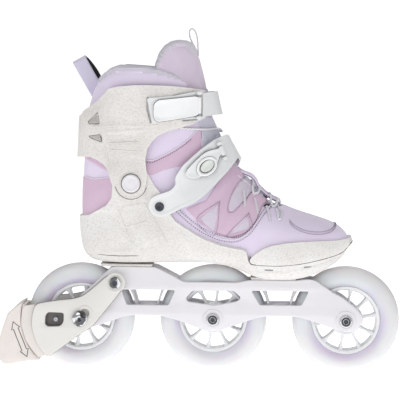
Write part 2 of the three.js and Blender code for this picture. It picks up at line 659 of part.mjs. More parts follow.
add('cuff_buckle_base', base.subtract(upright(1.2, 259.6, 289.4)).subtract(barrelRoom), finishes.strap());
const bandIn = cuffOut + gap;
const bandFront = slab([
  [-11, 286], [-3, 287.4], [3, 288.4], [30, 290], [30, 264], [6, 264.8], [-3, 263.9], [-11, 263.4],
], -80, 80);
const bandInner = slab([
  [-66, 281.4], [-40, 283.6], [-12, 286], [-3, 287.4], [30, 290], [30, 264], [6, 264.8], [-9, 263.6],
  [-40, 260], [-61, 257],
], 0, 80);
const band = skin(bandIn, bandIn + strapWall).intersect(bandFront.add(bandInner));
const strapBolt = { x: -54, z: 270 };
const strapBoltHole = rod(strapBolt.x, strapBolt.z, 2.4, 10, 80, 16);
add('cuff_strap', band.subtract(strapBoltHole), finishes.strap());
const boltFace = -sideY(strapBolt.x, strapBolt.z, bandIn + strapWall) + 1;
const cuffFace = -sideY(strapBolt.x, strapBolt.z, bandIn);
const bandBolt = rod(strapBolt.x, strapBolt.z, 2.2, cuffFace + 0.8, boltFace + 1, 10);
const bandHead = rod(strapBolt.x, strapBolt.z, 5, boltFace, boltFace + 2.4, 14);
add('cuff_strap_bolt', bandBolt.add(bandHead), finishes.dark());
const leverOutline = [
  [-59, 268], [-58.4, 275], [-55, 279.2], [-38, 281.4], [cuffPinX, 284.4], [cuffPinX, 264.4],
  [-38, 260.4], [-55, 258], [-58.4, 261.5],
];
const lever = skin(leverIn, leverOut).intersect(slab(leverOutline, -80, 80)).intersect(outerHalf)
  .add(upright(2.5, 264.4, 284.4))
  .subtract(upright(1.2, 259.6, 289.4));
add('cuff_buckle_lever', lever, finishes.strap());
add('cuff_lever_pin', upright(1.15, 261.4, 287.6), finishes.steel());

// Instep buckle: an arm bolted to the shell carries the lever that grips the toothed strap.
const armOff = shellOut + 0.4;
const armFace = armOff + 3.2;
const armTop = [
  [-65.1, 172], [-62.6, 180.7], [-55.4, 184.3], [-43, 188.4], [-37.4, 194], [-38.1, 202.2],
  [-30, 214.4], [-12.7, 230.1], [2.5, 240.8], [11.6, 244.4], [19.7, 240], [26, 230.7], [24, 220.6],
  [14.6, 208.4], [1.5, 194.2], [-6.6, 185.5], [-17.8, 176.8], [-33.1, 170.1], [-43.2, 164.5],
  [-53.4, 161.4], [-61.6, 164.6],
];
const armBolt = { x: -53.6, z: 172.2 };
const pinEnds = [[5.6, 236.6], [12, 220.6]];
const pinOff = armFace + 3.2;
const onSide = ([x, z], t) => new THREE.Vector3(x, sideY(x, z, t), z);
const [pinA, pinB] = pinEnds.map((p) => onSide(p, pinOff));
const between = (k) => new THREE.Vector3().lerpVectors(pinA, pinB, k);
let arm = skin(armOff, armFace).intersect(slab(armTop, -80, -7));
arm = arm.add(pinBetween(between(-0.02), between(0.14), 3.6)).add(pinBetween(between(0.86), between(1.02), 3.6));
const pinBore = pinBetween(between(-0.2), between(1.2), 1.2);
arm = arm.subtract(pinBore).subtract(pinBetween(between(0.15), between(0.85), 4.4)).subtract(rod(armBolt.x, armBolt.z, 2.4, -80, 0, 16));
add('instep_arm', arm, finishes.strap());
const armBoltFace = sideY(armBolt.x, armBolt.z, armFace) - 0.8;
const armPin = rod(armBolt.x, armBolt.z, 2.2, armBoltFace - 1, sideY(armBolt.x, armBolt.z, armOff) - 0.6, 10);
add('instep_arm_bolt', armPin.add(rod(armBolt.x, armBolt.z, 4.4, armBoltFace - 2, armBoltFace, 14)), finishes.dark());
const instepIn = armFace + 0.6;
const instepOut = instepIn + 3;
const instepLever = [
  [6.8, 232.2], [2.6, 230.2], [-1, 229.8], [-7.6, 227.7], [-15.7, 220.6], [-25.4, 210.4], [-27.2, 206.6],
  [-25, 202.6], [-19, 201.4], [-12.6, 202.4], [0.5, 211.6], [4, 216.8], [6, 223.6], [10, 225.4],
];
const buttonHole = (grow) => {
  const oval = [];
  for (let i = 0; i < 20; i += 1) {
    const a = (i * 18) * deg;
    const [u, v] = [(8 + grow) * Math.cos(a), (5.4 + grow) * Math.sin(a)];
    oval.push([-5.6 + u * 0.77 - v * 0.64, 213.8 + u * 0.64 + v * 0.77]);
  }
  return slab(oval, -80, 0);
};
const gripLever = skin(instepIn, instepOut).intersect(slab(instepLever, -80, -4))
  .subtract(block(-2, 30, pinA.y + 2.6, 0, 200, 250))
  .add(pinBetween(between(0.17), between(0.83), 2.9))
  .subtract(pinBore)
  .subtract(buttonHole(0.3));
add('instep_lever', gripLever, finishes.strap());
add('instep_lever_pin', pinBetween(between(0.01), between(0.99), 1.15), finishes.steel());
const button = skin(instepIn + 1.4, instepOut + 1.2).intersect(buttonHole(0));
add('instep_release_button', button, finishes.button());
const toothed = [
  [11, 244], [20, 241], [30, 228], [25, 212], [8, 200], [-8, 186], [-30, 170], [-46, 162],
  [-57, 167], [-55, 180], [-38, 188], [-20, 208], [-4, 228],
];
const strapSkin = skin(armOff, armOff + strapWall).intersect(slab(toothed, -6.7, 80));
const instepBolt = { x: -46, z: 173 };
add('instep_toothed_strap', strapSkin.subtract(rod(instepBolt.x, instepBolt.z, 2.4, 0, 80, 16)), finishes.strap());
const strapFace = -sideY(instepBolt.x, instepBolt.z, armOff + strapWall) + 0.8;
const strapPin = rod(instepBolt.x, instepBolt.z, 2.2, -sideY(instepBolt.x, instepBolt.z, armOff) + 0.6, strapFace + 1, 10);
add('instep_strap_bolt', strapPin.add(rod(instepBolt.x, instepBolt.z, 4.4, strapFace, strapFace + 2, 14)), finishes.dark());

// Pull tab: a webbing loop standing up from the back of the collar
const tabFrom = [-117.6, 281.6];
const tabTo = [-139.6, 319.4];
const tabLong = Math.hypot(tabTo[0] - tabFrom[0], tabTo[1] - tabFrom[1]);
const loopProfile = (grow) => {
  const half = 7.4 + grow;
  const arc = disc(0, tabLong - 8.6, half, 0, 180, 10);
  return [[half, -12 - grow], ...arc, [-half, -12 - grow]];
};
const loopShape = new THREE.Shape(loopProfile(1.2).map((p) => new THREE.Vector2(...p)));
loopShape.holes.push(new THREE.Path(loopProfile(-0.7).map((p) => new THREE.Vector2(...p))));
const loopGeometry = new THREE.ExtrudeGeometry(loopShape, { depth: 14, bevelEnabled: false });
loopGeometry.translate(0, 0, -7);
loopGeometry.rotateZ(Math.PI / 2);
loopGeometry.rotateX(Math.PI / 2);
loopGeometry.rotateZ(Math.PI);
loopGeometry.applyMatrix4(new THREE.Matrix4().makeBasis(
  new THREE.Vector3((tabTo[0] - tabFrom[0]) / tabLong, 0, (tabTo[1] - tabFrom[1]) / tabLong),
  new THREE.Vector3((tabTo[1] - tabFrom[1]) / tabLong, 0, -(tabTo[0] - tabFrom[0]) / tabLong),
  new THREE.Vector3(0, 1, 0),
));
loopGeometry.translate(tabFrom[0], 0, tabFrom[1]);
const tab = solid(loopGeometry).subtract(bootLayer(gap)).subtract(cuffArea.translate([0, 0, 0.8]));
add('pull_tab', tab, finishes.tab());

// Laces run up the instep between small eyelet loops
const topAt = (s0, angle, t) => bootPoint(sectionAt(s0), angle, t);
const laceLift = 1.5;
const rowsUp = [6.9, 7.45, 8, 8.5];
const lacePath = [];
rowsUp.forEach((s0, i) => {
  const flip = i % 2 === 0 ? 1 : -1;
  for (const a of [0.62, 0.42, 0.2, -0.2, -0.42, -0.62]) {
    lacePath.push(topAt(s0 + 0.3 * (0.62 - a), a * flip, laceLift));
  }
});
add('lace', cord(lacePath, 1.1, 40), finishes.strap());
const eyelets = [7.1, 7.75, 8.4];
eyelets.forEach((s0, i) => {
  for (const [name, side] of [['outer', -1], ['inner', 1]]) {
    const points = [0.76, 0.88, 1.0].map((a) => topAt(s0, side * a, 0.95));
    add(`lace_loop_${name}_${i + 1}`, cord(points, 0.6, 2), finishes.pink());
  }
});
add('tongue_loop', cord([
  [-17.2, -5, 326], [-20.4, -5.4, 338], [-25, -3.6, 349], [-26.4, 0, 351.4], [-25, 3.6, 349],
  [-20.4, 5.4, 338], [-17.2, 5, 326],
], 0.9, 16), finishes.tab());
export default skate;
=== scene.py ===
import math
import bmesh
import bpy
import numpy as np
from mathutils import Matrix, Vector


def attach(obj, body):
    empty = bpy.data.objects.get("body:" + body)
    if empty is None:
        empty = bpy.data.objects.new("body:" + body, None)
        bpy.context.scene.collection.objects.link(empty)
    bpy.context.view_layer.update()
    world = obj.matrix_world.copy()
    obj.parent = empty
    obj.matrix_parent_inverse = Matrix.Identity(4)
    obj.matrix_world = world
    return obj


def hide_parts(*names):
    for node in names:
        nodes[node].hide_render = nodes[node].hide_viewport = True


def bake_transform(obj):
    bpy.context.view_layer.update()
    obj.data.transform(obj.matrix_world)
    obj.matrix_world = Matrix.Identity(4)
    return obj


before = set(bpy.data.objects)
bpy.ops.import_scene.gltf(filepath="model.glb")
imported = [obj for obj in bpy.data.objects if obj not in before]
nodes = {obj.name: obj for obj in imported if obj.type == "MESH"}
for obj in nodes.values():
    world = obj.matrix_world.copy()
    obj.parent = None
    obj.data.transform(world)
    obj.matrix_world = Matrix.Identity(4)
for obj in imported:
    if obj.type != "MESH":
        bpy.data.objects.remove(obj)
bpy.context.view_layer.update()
pi = math.pi

# camera, floor and lights
shot = {"place": (0.075, -1.9, 0.329), "aim": (-0.015, 0.0, 0.176), "lens": 167.0, "roll": 0.5, "sensor": 36.0}
cameraData = bpy.data.cameras.new("viewCamera")
cameraData.lens = shot["lens"]
cameraData.sensor_width = shot["sensor"]
camera = bpy.data.objects.new("viewCamera", cameraData)
bpy.context.scene.collection.objects.link(camera)
camera.location = shot["place"]
gaze = (Vector(shot["aim"]) - Vector(shot["place"])).to_track_quat("-Z", "Y").to_euler()
camera.rotation_euler = gaze
camera.rotation_euler.rotate_axis("Z", math.radians(shot["roll"]))
bpy.context.scene.camera = camera

brightness = {"world": 0.40, "backdrop": 1.1, "floor": 0.68}
lamps = {
    "keyLamp": {"place": (-0.9, -2.2, 2.1), "size": 1.9, "power": 13.0},
    "fillLamp": {"place": (1.9, -1.6, 1.2), "size": 1.8, "power": 5.0},
    "topLamp": {"place": (0.1, 0.3, 2.4), "size": 1.6, "power": 6.0},
    "backLamp": {"place": (0.3, 2.3, 1.4), "size": 2.0, "power": 5.0},
}
for lampName, lampFacts in lamps.items():
    lampData = bpy.data.lights.new(lampName, "AREA")
    lampData.shape = "DISK"
    lampData.size = lampFacts["size"]
    lampData.energy = lampFacts["power"]
    lamp = bpy.data.objects.new(lampName, lampData)
    bpy.context.scene.collection.objects.link(lamp)
    lamp.location = lampFacts["place"]
    lamp.rotation_euler = (Vector((0, 0, 0.17)) - lamp.location).to_track_quat("-Z", "Y").to_euler()
studio = bpy.data.worlds.new("studio")
studio.use_nodes = True
studio.node_tree.nodes["Background"].inputs["Color"].default_value = (1.0, 1.0, 1.0, 1.0)
studio.node_tree.nodes["Background"].inputs["Strength"].default_value = brightness["world"]
seen = studio.node_tree.nodes.new("ShaderNodeLightPath")  # the backdrop itself shows pure white
glow = studio.node_tree.nodes.new("ShaderNodeMapRange")
glow.inputs["To Min"].default_value = brightness["world"]
glow.inputs["To Max"].default_value = brightness["backdrop"]
studio.node_tree.links.new(seen.outputs["Is Camera Ray"], glow.inputs["Value"])
studio.node_tree.links.new(glow.outputs["Result"], studio.node_tree.nodes["Background"].inputs["Strength"])
bpy.context.scene.view_settings.view_transform = "Standard"
bpy.context.scene.world = studio
print("camera and lights placed")


# material arithmetic: a Signal is a number or colour on its way through one paint's nodes
class Signal:
    def __init__(self, paint, socket):
        self.paint = paint
        self.socket = socket

    def math(self, operation, *others):
        return self.paint.node("ShaderNodeMath", {"operation": operation}, dict(enumerate([self, *others])))

    def __add__(self, other): return self.math("ADD", other)
    def __radd__(self, other): return self.math("ADD", other)
    def __sub__(self, other): return self.math("SUBTRACT", other)
    def __rsub__(self, other): return (self * -1.0) + other
    def __mul__(self, other): return self.math("MULTIPLY", other)
    def __rmul__(self, other): return self.math("MULTIPLY", other)
    def above(self, edge): return self.math("GREATER_THAN", edge)
    def most(self, other): return self.math("MAXIMUM", other)
    def sine(self): return self.math("SINE")
    def size(self): return self.math("ABSOLUTE")

    def ramp(self, low, high):
        # 0 below low, 1 above high, eased between
        return self.paint.node("ShaderNodeMapRange", {"interpolation_type": "SMOOTHSTEP"},
                               {"Value": self, "From Min": low, "From Max": high})


def colorOf(text):
    # a written sRGB colour as linear numbers
    parts = np.array([int(text[i:i + 2], 16) for i in (1, 3, 5)]) / 255.0
    linear = np.where(parts <= 0.04045, parts / 12.92, ((parts + 0.055) / 1.055) ** 2.4)
    return (*[float(v) for v in linear], 1.0)


class Paint:
    # one material: node() adds any node, set() links or fills a socket of the shader
    def __init__(self, name, color, roughness, metallic=0.0, **constants):
        self.material = bpy.data.materials.new(name)
        self.material.use_nodes = True
        self.tree = self.material.node_tree
        self.shader = self.tree.nodes["Principled BSDF"]
        self.material.diffuse_color = colorOf(color)
        self.set("Base Color", colorOf(color))
        self.set("Roughness", roughness)
        self.set("Metallic", metallic)
        for key, value in constants.items():
            self.set(key.replace("_", " "), value)

    def set(self, name, value):
        if isinstance(value, Signal):
            self.tree.links.new(value.socket, self.shader.inputs[name])
        else:
            self.shader.inputs[name].default_value = value

    def node(self, kind, settings, sockets, output=0):
        made = self.tree.nodes.new(kind)
        for key, value in settings.items():
            setattr(made, key, value)
        for key, value in sockets.items():
            if isinstance(value, Signal):
                self.tree.links.new(value.socket, made.inputs[key])
            else:
                made.inputs[key].default_value = value
        return Signal(self, made.outputs[output])

    def place(self):
        return self.node("ShaderNodeTexCoord", {}, {}, "Object")

    def cloth(self):
        return self.node("ShaderNodeUVMap", {"uv_map": "clothMap"}, {})

    def fact(self, name):
        return self.node("ShaderNodeAttribute", {"attribute_name": name}, {}, "Fac")

    def noise(self, vector, scale, detail=3.0):
        return self.node("ShaderNodeTexNoise", {}, {"Vector": vector, "Scale": scale, "Detail": detail,
            "Roughness": 0.5})

    def cells(self, vector, scale, output="Distance"):
        return self.node("ShaderNodeTexVoronoi", {}, {"Vector": vector, "Scale": scale}, output)

    def axis(self, vector, which):
        return self.node("ShaderNodeSeparateXYZ", {}, {"Vector": vector}, which)

    def mix(self, share, a, b):
        colors = {6: a if isinstance(a, Signal) else colorOf(a), 7: b if isinstance(b, Signal) else colorOf(b)}
        return self.node("ShaderNodeMix", {"data_type": "RGBA"}, {0: share, **colors}, 2)

    def stretch(self, vector, scale):
        return self.node("ShaderNodeVectorMath", {"operation": "MULTIPLY"}, {0: vector, 1: scale})

    def bump(self, height, distance, strength):
        return self.node("ShaderNodeBump", {}, {"Height": height, "Distance": distance, "Strength": strength})


def speckledPlastic(name, base, speck, warm, gloss=0.5):
    # matt moulded plastic with ground flecks, faint flow clouds and a painted highlight along the rims
    paint = Paint(name, base, gloss)
    place = paint.place()
    grain = paint.cells(place, 900.0, output="Color")
    pick = paint.axis(grain, 0).above(0.74)
    near = 1.0 - paint.cells(place, 900.0).ramp(0.12, 0.42)
    flecks = pick * near
    bigPick = paint.axis(paint.cells(place, 330.0, output="Color"), 1).above(0.93)
    coarse = bigPick * (1.0 - paint.cells(place, 330.0).ramp(0.1, 0.36))
    clouds = paint.noise(place, 24.0, 4.0).ramp(0.35, 0.72)
    tone = paint.mix(clouds * 0.7, base, warm)
    streaks = paint.noise(paint.stretch(place, (1.0, 1.0, 1.6)), 430.0, 5.0).ramp(0.42, 0.72)
    tone = paint.mix(streaks * 0.3, tone, speck)
    tone = paint.mix(flecks * 0.7, tone, speck)
    tone = paint.mix(coarse * 0.42, tone, speck)
    # painted highlight: the colour turns paler towards every edge of the piece
    rim = paint.fact("rim")
    tone = paint.mix(rim * 0.4, tone, "#F6F5F2")
    paint.set("Base Color", tone)
    paint.set("Roughness", gloss + 0.12 * paint.noise(place, 140.0) - 0.05)
    fine = paint.noise(place, 700.0, 2.0) + 0.5 * flecks
    paint.set("Normal", paint.bump(fine, 0.0002, 0.45))
    return paint.material


def glossyPlastic(name, base, shade, gloss=0.28):
    # smooth moulded nylon: faint mottling, a painted highlight along the rims, fine scuffs across the gloss
    paint = Paint(name, base, gloss, Coat_Weight=0.25, Coat_Roughness=0.15)
    place = paint.place()
    clouds = paint.noise(place, 60.0, 3.0)
    tone = paint.mix(clouds.ramp(0.3, 0.75) * 0.5, base, shade)
    # painted highlight: near white along every edge of the piece
    tone = paint.mix(paint.fact("rim") * 0.35, tone, "#FAFAFA")
    paint.set("Base Color", tone)
    scuffs = paint.noise(paint.stretch(place, (1.0, 1.0, 7.0)), 260.0, 2.0)
    paint.set("Roughness", gloss + 0.16 * scuffs.ramp(0.5, 0.8))
    paint.set("Normal", paint.bump(paint.noise(place, 420.0, 2.0), 0.00012, 0.35))
    return paint.material


def knitFabric(name, base, shade, pitch):
    # a two-way knit following the cloth map, soft mottling and a little sheen
    paint = Paint(name, base, 0.86, Sheen_Weight=0.25, Sheen_Roughness=0.5)
    flat = paint.cloth()
    across = paint.axis(flat, 0)
    along = paint.axis(flat, 1)
    warp = (across * (2 * pi / pitch)).sine()
    weft = (along * (2 * pi / pitch)).sine()
    loops = warp * weft * 0.5 + 0.5
    clouds = paint.noise(flat, 45.0, 4.0)
    tone = paint.mix(clouds.ramp(0.3, 0.7) * 0.5, base, shade)
    tone = paint.mix(loops * 0.28, tone, "#F4EEF8")
    paint.set("Base Color", tone)
    paint.set("Roughness", 0.8 + 0.12 * loops)
    paint.set("Normal", paint.bump(loops + 0.5 * paint.noise(flat, 900.0, 2.0), 0.00022, 0.8))
    return paint.material


def meshFabric(name, base, hole, pitch=0.0017):
    # spacer mesh: rows of small eyelets, every second row moved half a step
    paint = Paint(name, base, 0.9, Sheen_Weight=0.3, Sheen_Roughness=0.5)
    flat = paint.cloth()
    across = paint.axis(flat, 0) * (2 * pi / pitch)
    along = paint.axis(flat, 1) * (2 * pi / (pitch * 1.7))
    rows = (across.sine() * along.sine()).size()
    pits = 1.0 - rows.ramp(0.25, 0.75)
    clouds = paint.noise(flat, 38.0, 3.0)
    tone = paint.mix(clouds.ramp(0.3, 0.7) * 0.4, base, hole)
    tone = paint.mix(pits * 0.45, tone, hole)
    paint.set("Base Color", tone)
    paint.set("Normal", paint.bump(rows, 0.0004, 0.7))
    return paint.material


def suedeFabric(name, base, shade):
    # smooth microfibre with a short nap and brushed clouds
    paint = Paint(name, base, 0.78, Sheen_Weight=0.35, Sheen_Roughness=0.4)
    flat = paint.cloth()
    nap = paint.noise(flat, 1600.0, 2.0)
    clouds = paint.noise(flat, 30.0, 4.0)
    tone = paint.mix(clouds.ramp(0.3, 0.72) * 0.6, base, shade)
    tone = paint.mix(nap.ramp(0.45, 0.7) * 0.2, tone, "#FFFFFF")
    paint.set("Base Color", tone)
    paint.set("Roughness", 0.7 + 0.18 * nap)
    paint.set("Normal", paint.bump(nap, 0.0002, 0.5))
    return paint.material


def paintedMetal(name, base, shade, gloss=0.3):
    # satin powder coat over extruded metal, faint orange peel
    paint = Paint(name, base, gloss, Coat_Weight=0.35, Coat_Roughness=0.2)
    place = paint.place()
    tone = paint.mix(paint.noise(place, 18.0, 3.0).ramp(0.3, 0.75) * 0.4, base, shade)
    tone = paint.mix(paint.cells(place, 420.0).ramp(0.0, 0.08) * -0.1 + 0.1, tone, "#B9B6BE")
    paint.set("Base Color", tone)
    paint.set("Roughness", gloss + 0.12 * paint.noise(place, 90.0, 3.0))
    paint.set("Normal", paint.bump(paint.noise(place, 380.0, 2.0), 0.00015, 0.35))
    return paint.material


def bareMetal(name, base, shade, gloss):
    # turned or plated steel with fine drawn lines and smudged gloss
    paint = Paint(name, base, gloss, 1.0)
    place = paint.place()
    lines = paint.noise(paint.stretch(place, (1.0, 1.0, 9.0)), 520.0, 2.0)
    smudge = paint.noise(place, 120.0, 3.0)
    paint.set("Base Color", paint.mix(smudge.ramp(0.35, 0.7) * 0.6, base, shade))
    paint.set("Roughness", gloss + 0.15 * smudge)
    paint.set("Normal", paint.bump(lines, 0.0001, 0.3))
    return paint.material


def reflectionChrome(name, base, dark):
    # polished steel with a painted reflection: a dark studio corner drawn into its colour in soft bands
    paint = Paint(name, base, 0.07, Metallic=1.0)
    place = paint.place()
    bands = paint.noise(paint.stretch(place, (1.0, 1.0, 0.7)), 150.0, 1.0).ramp(0.46, 0.54)
    paint.set("Base Color", paint.mix(bands * 0.85, base, dark))
    paint.set("Roughness", 0.06 + 0.12 * paint.noise(place, 500.0))
    return paint.material


def castUrethane(name, base, glow, deep):
    # milky urethane: violet light gathers round the core and fades towards the tread
    paint = Paint(name, base, 0.22, Coat_Weight=0.4, Coat_Roughness=0.12, Subsurface_Weight=0.25)
    place = paint.place()
    radial = paint.fact("radial")
    turn = paint.fact("turn")
    patch = paint.noise(place, 13.0, 2.0).ramp(0.36, 0.66)
    near = 1.0 - radial.ramp(0.036, 0.047)
    halo = near * patch
    cloud = paint.noise(place, 40.0, 4.0)
    tone = paint.mix(cloud.ramp(0.3, 0.75) * 0.5, base, deep)
    tone = paint.mix(halo * 0.75, tone, glow)
    tone = paint.mix(radial.ramp(0.0515, 0.0545) * 0.55, tone, "#D6D7DC")
    paint.set("Base Color", tone)
    paint.set("Roughness", 0.2 + 0.22 * cloud + 0.1 * turn)
    paint.set("Normal", paint.bump(paint.noise(place, 220.0, 3.0), 0.0002, 0.25))
    return paint.material


def rubberPaint(name, base, shade):
    # cast rubber with a fine grain and soft clouds
    paint = Paint(name, base, 0.6)
    place = paint.place()
    grain = paint.noise(place, 260.0, 4.0)
    tone = paint.mix(paint.noise(place, 30.0, 3.0).ramp(0.3, 0.7) * 0.6, base, shade)
    tone = paint.mix(grain.ramp(0.55, 0.8) * 0.2, tone, "#CFC4C0")
    paint.set("Base Color", tone)
    paint.set("Roughness", 0.5 + 0.25 * grain)
    paint.set("Normal", paint.bump(grain, 0.0004, 0.5))
    return paint.material


def wovenWebbing(name, base, shade, pitch=0.0013, dashes=None):
    # flat woven tape or round braid: slanted ribs on its own cloth map, flecked where dashes are given
    paint = Paint(name, base, 0.7, Sheen_Weight=0.15)
    flat = paint.cloth()
    across = paint.axis(flat, 0)
    along = paint.axis(flat, 1)
    left = ((across + along) * (2 * pi / pitch)).sine()
    right = ((across - along) * (2 * pi / pitch)).sine()
    ribs = left.most(right) * 0.5 + 0.5
    tone = paint.mix(ribs * 0.6, shade, base)
    if dashes:
        spots = ((along * (2 * pi / 0.0036)).sine() * (across * (2 * pi / 0.0031)).sine()).above(0.3)
        tone = paint.mix(spots * 0.5, tone, dashes)
    paint.set("Base Color", tone)
    paint.set("Roughness", 0.6 + 0.2 * ribs)
    paint.set("Normal", paint.bump(ribs, 0.0003, 0.7))
    return paint.material


shellPaint = speckledPlastic("shellSpeckled", "#EFEDEB", "#B7B1AA", "#E1DEDA")
cuffPaint = speckledPlastic("cuffSpeckled", "#EDEAE7", "#B9B2AB", "#DFDAD6")
# painted shade: a darker copy of the cuff plastic for the floors of recesses
recessShadePaint = speckledPlastic("recessShadeSpeckled", "#BDB7B3", "#8D8680", "#ADA6A1")
strapPaint = glossyPlastic("strapGloss", "#EEF0F1", "#E2E5E7")
ringPaint = glossyPlastic("ringGloss", "#F8F9FA", "#F0F2F3", 0.2)
buttonPaint = glossyPlastic("buttonGloss", "#E6EBE6", "#DAE1DB", 0.3)
# painted shadow: a dark material for strips laid where slots, gaps and openings only hold shade
shadowPaint = glossyPlastic("paintedShadow", "#4A4A50", "#2E2E33", 0.5)
hubPaint = glossyPlastic("hubGloss", "#F3F4F6", "#E7E9EC", 0.25)
wheelPaint = castUrethane("milkyUrethane", "#E8E9EC", "#DACBE8", "#DFE1E4")
framePaint = paintedMetal("framePowder", "#F0EEF2", "#E8E6EC")
# painted shade: a darker copy of the frame paint for the cross walls
webShadePaint = paintedMetal("webShadedPowder", "#D2D1D6", "#C6C5CB", 0.38)
platePaint = paintedMetal("brakePlate", "#ECEAE6", "#DCDAD5", 0.34)
chromePaint = bareMetal("chrome", "#E4E5E8", "#C9CACF", 0.08)
steelPaint = bareMetal("turnedSteel", "#B5B7BC", "#8E9097", 0.22)
mirrorPaint = reflectionChrome("mirrorChrome", "#DADBDE", "#26282C")
boltPaint = bareMetal("darkBolt", "#5C5F66", "#3E4046", 0.3)
padPaint = rubberPaint("brakeRubber", "#F4EEEA", "#ECE3DE")
holderPaint = rubberPaint("brakeHolder", "#F1ECE8", "#E8E1DC")
lilacPaint = suedeFabric("lilacMicrofibre", "#EADFF4", "#E2D5EE")
lilacMesh = meshFabric("lilacMesh", "#F5EFF9", "#D6C7DF")
tongueMesh = meshFabric("tongueMesh", "#EDE0F1", "#D5C4DC", 0.0015)
pinkPaint = suedeFabric("pinkMicrofibre", "#DBBFD5", "#D0B1CB")
greyKnit = knitFabric("greyLining", "#CFCBD6", "#C0BCC9", 0.0014)
steelKnit = knitFabric("blueGreyKnit", "#DCDDEB", "#CACBDD", 0.0013)
pipePaint = suedeFabric("whitePiping", "#F1EBF6", "#E6DEEE")
threadPaint = glossyPlastic("thread", "#574A66", "#493D58", 0.7)
tabPaint = wovenWebbing("tabWebbing", "#E9E4F6", "#D9D2EA")
tabInside = wovenWebbing("tabInside", "#26252B", "#161519")
lacePaint = wovenWebbing("laceBraid", "#FFFFFF", "#F2EFF8", 0.0012, "#A5A1B6")
# painted shadow: dark lines along edges, gaps and seams
shadowLinePaint = glossyPlastic("seamShadow", "#6A6565", "#575253", 0.6)
loopPaint = wovenWebbing("loopBraid", "#F2EEF5", "#DAD5DE")
print("materials made")


# mesh making: points in millimetres on numpy arrays, written in metres
def makePiece(name, points, faces, paints, body, which=None, cloth=None, facts=None, sharp=38.0):
    mesh = bpy.data.meshes.new(name)
    mesh.from_pydata((np.asarray(points, float) / 1000.0).tolist(), [],
                     np.asarray(faces).tolist() if not isinstance(faces, list) else faces)
    for paint in (paints if isinstance(paints, list) else [paints]):
        mesh.materials.append(paint)
    if which is not None:
        mesh.polygons.foreach_set("material_index", np.asarray(which, np.int32))
    corners = np.zeros(len(mesh.loops), np.int32)
    mesh.loops.foreach_get("vertex_index", corners)
    layer = mesh.uv_layers.new(name="clothMap")
    flat = np.asarray(points, float)[:, [0, 2]] if cloth is None else np.asarray(cloth, float)
    layer.data.foreach_set("uv", (flat[corners] / 1000.0).astype(np.float32).ravel())
    for key, values in (facts or {}).items():
        mesh.attributes.new(key, "FLOAT", "POINT").data.foreach_set("value", np.asarray(values, np.float32))
    mesh.shade_smooth()
    mesh.set_sharp_from_angle(angle=math.radians(sharp))
    mesh.update()
    thing = bpy.data.objects.new(name, mesh)
    bpy.context.scene.collection.objects.link(thing)
    if body:
        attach(thing, body)
    return thing


def softenEdges(thing, width, segments=2, angle=40.0):
    bevel = thing.modifiers.new("edge", "BEVEL")
    bevel.width = width / 1000.0
    bevel.segments = segments
    bevel.limit_method = "ANGLE"
    bevel.angle_limit = math.radians(angle)
    bevel.harden_normals = False
    return thing


def gridFaces(rows, columns, wrapRows=False, wrapColumns=False):
    # quads between neighbours of a rows by columns grid, joined end to end where it wraps
    i = np.arange(rows if wrapRows else rows - 1)[:, None]
    j = np.arange(columns if wrapColumns else columns - 1)[None, :]
    i2, j2 = (i + 1) % rows, (j + 1) % columns
    return np.stack([i * columns + j, i2 * columns + j, i2 * columns + j2, i * columns + j2], -1).reshape(-1, 4)


def outwardFaces(points, faces):
    # turns every face over when the closed shape's signed volume is negative
    p = np.asarray(points, float)
    f = np.asarray(faces)
    a, b, c = p[f[:, 0]], p[f[:, 1]], p[f[:, 2]]
    volume = np.einsum("ij,ij->i", a, np.cross(b, c)).sum()
    if f.shape[1] == 4:
        d = p[f[:, 3]]
        volume += np.einsum("ij,ij->i", a, np.cross(c, d)).sum()
    return f[:, ::-1] if volume < 0 else f


def smoothPath(points, count, closed=False):
    # a Catmull-Rom curve through the given points, sampled at even spacing
    p = np.asarray(points, float)
    p = np.vstack([p[-1], p, p[0], p[1]]) if closed else np.vstack([2 * p[0] - p[1], p, 2 * p[-1] - p[-2]])
    t = np.linspace(0, 1, 24, endpoint=False)[:, None, None]
    a, b, c, d = p[:-3], p[1:-2], p[2:-1], p[3:]
    curve = 0.5 * (2 * b + (c - a) * t + (2 * a - 5 * b + 4 * c - d) * t ** 2
                   + (3 * b - a - 3 * c + d) * t ** 3)
    curve = curve.transpose(1, 0, 2).reshape(-1, p.shape[1])
    curve = np.vstack([curve, curve[0] if closed else p[-2]])
    steps = np.concatenate([[0], np.cumsum(np.linalg.norm(np.diff(curve, axis=0), axis=1))])
    at = np.linspace(0, steps[-1], count + 1)[:-1] if closed else np.linspace(0, steps[-1], count)
    return np.stack([np.interp(at, steps, curve[:, k]) for k in range(p.shape[1])], 1)


def roundCorners(points, radius, steps=5):
    # each corner of a closed outline becomes an arc cut back by up to the radius
    p = np.asarray(points, float)
    before, after = np.roll(p, 1, 0), np.roll(p, -1, 0)
    lead, trail = before - p, after - p
    leadLength = np.linalg.norm(lead, axis=1, keepdims=True)
    trailLength = np.linalg.norm(trail, axis=1, keepdims=True)
    back = np.minimum(radius, 0.45 * np.minimum(leadLength, trailLength))
    start, end = p + lead / leadLength * back, p + trail / trailLength * back
    t = np.linspace(0, 1, steps)[None, :, None]
    arcs = (1 - t) ** 2 * start[:, None] + 2 * t * (1 - t) * p[:, None] + t ** 2 * end[:, None]
    return arcs.reshape(-1, 2)


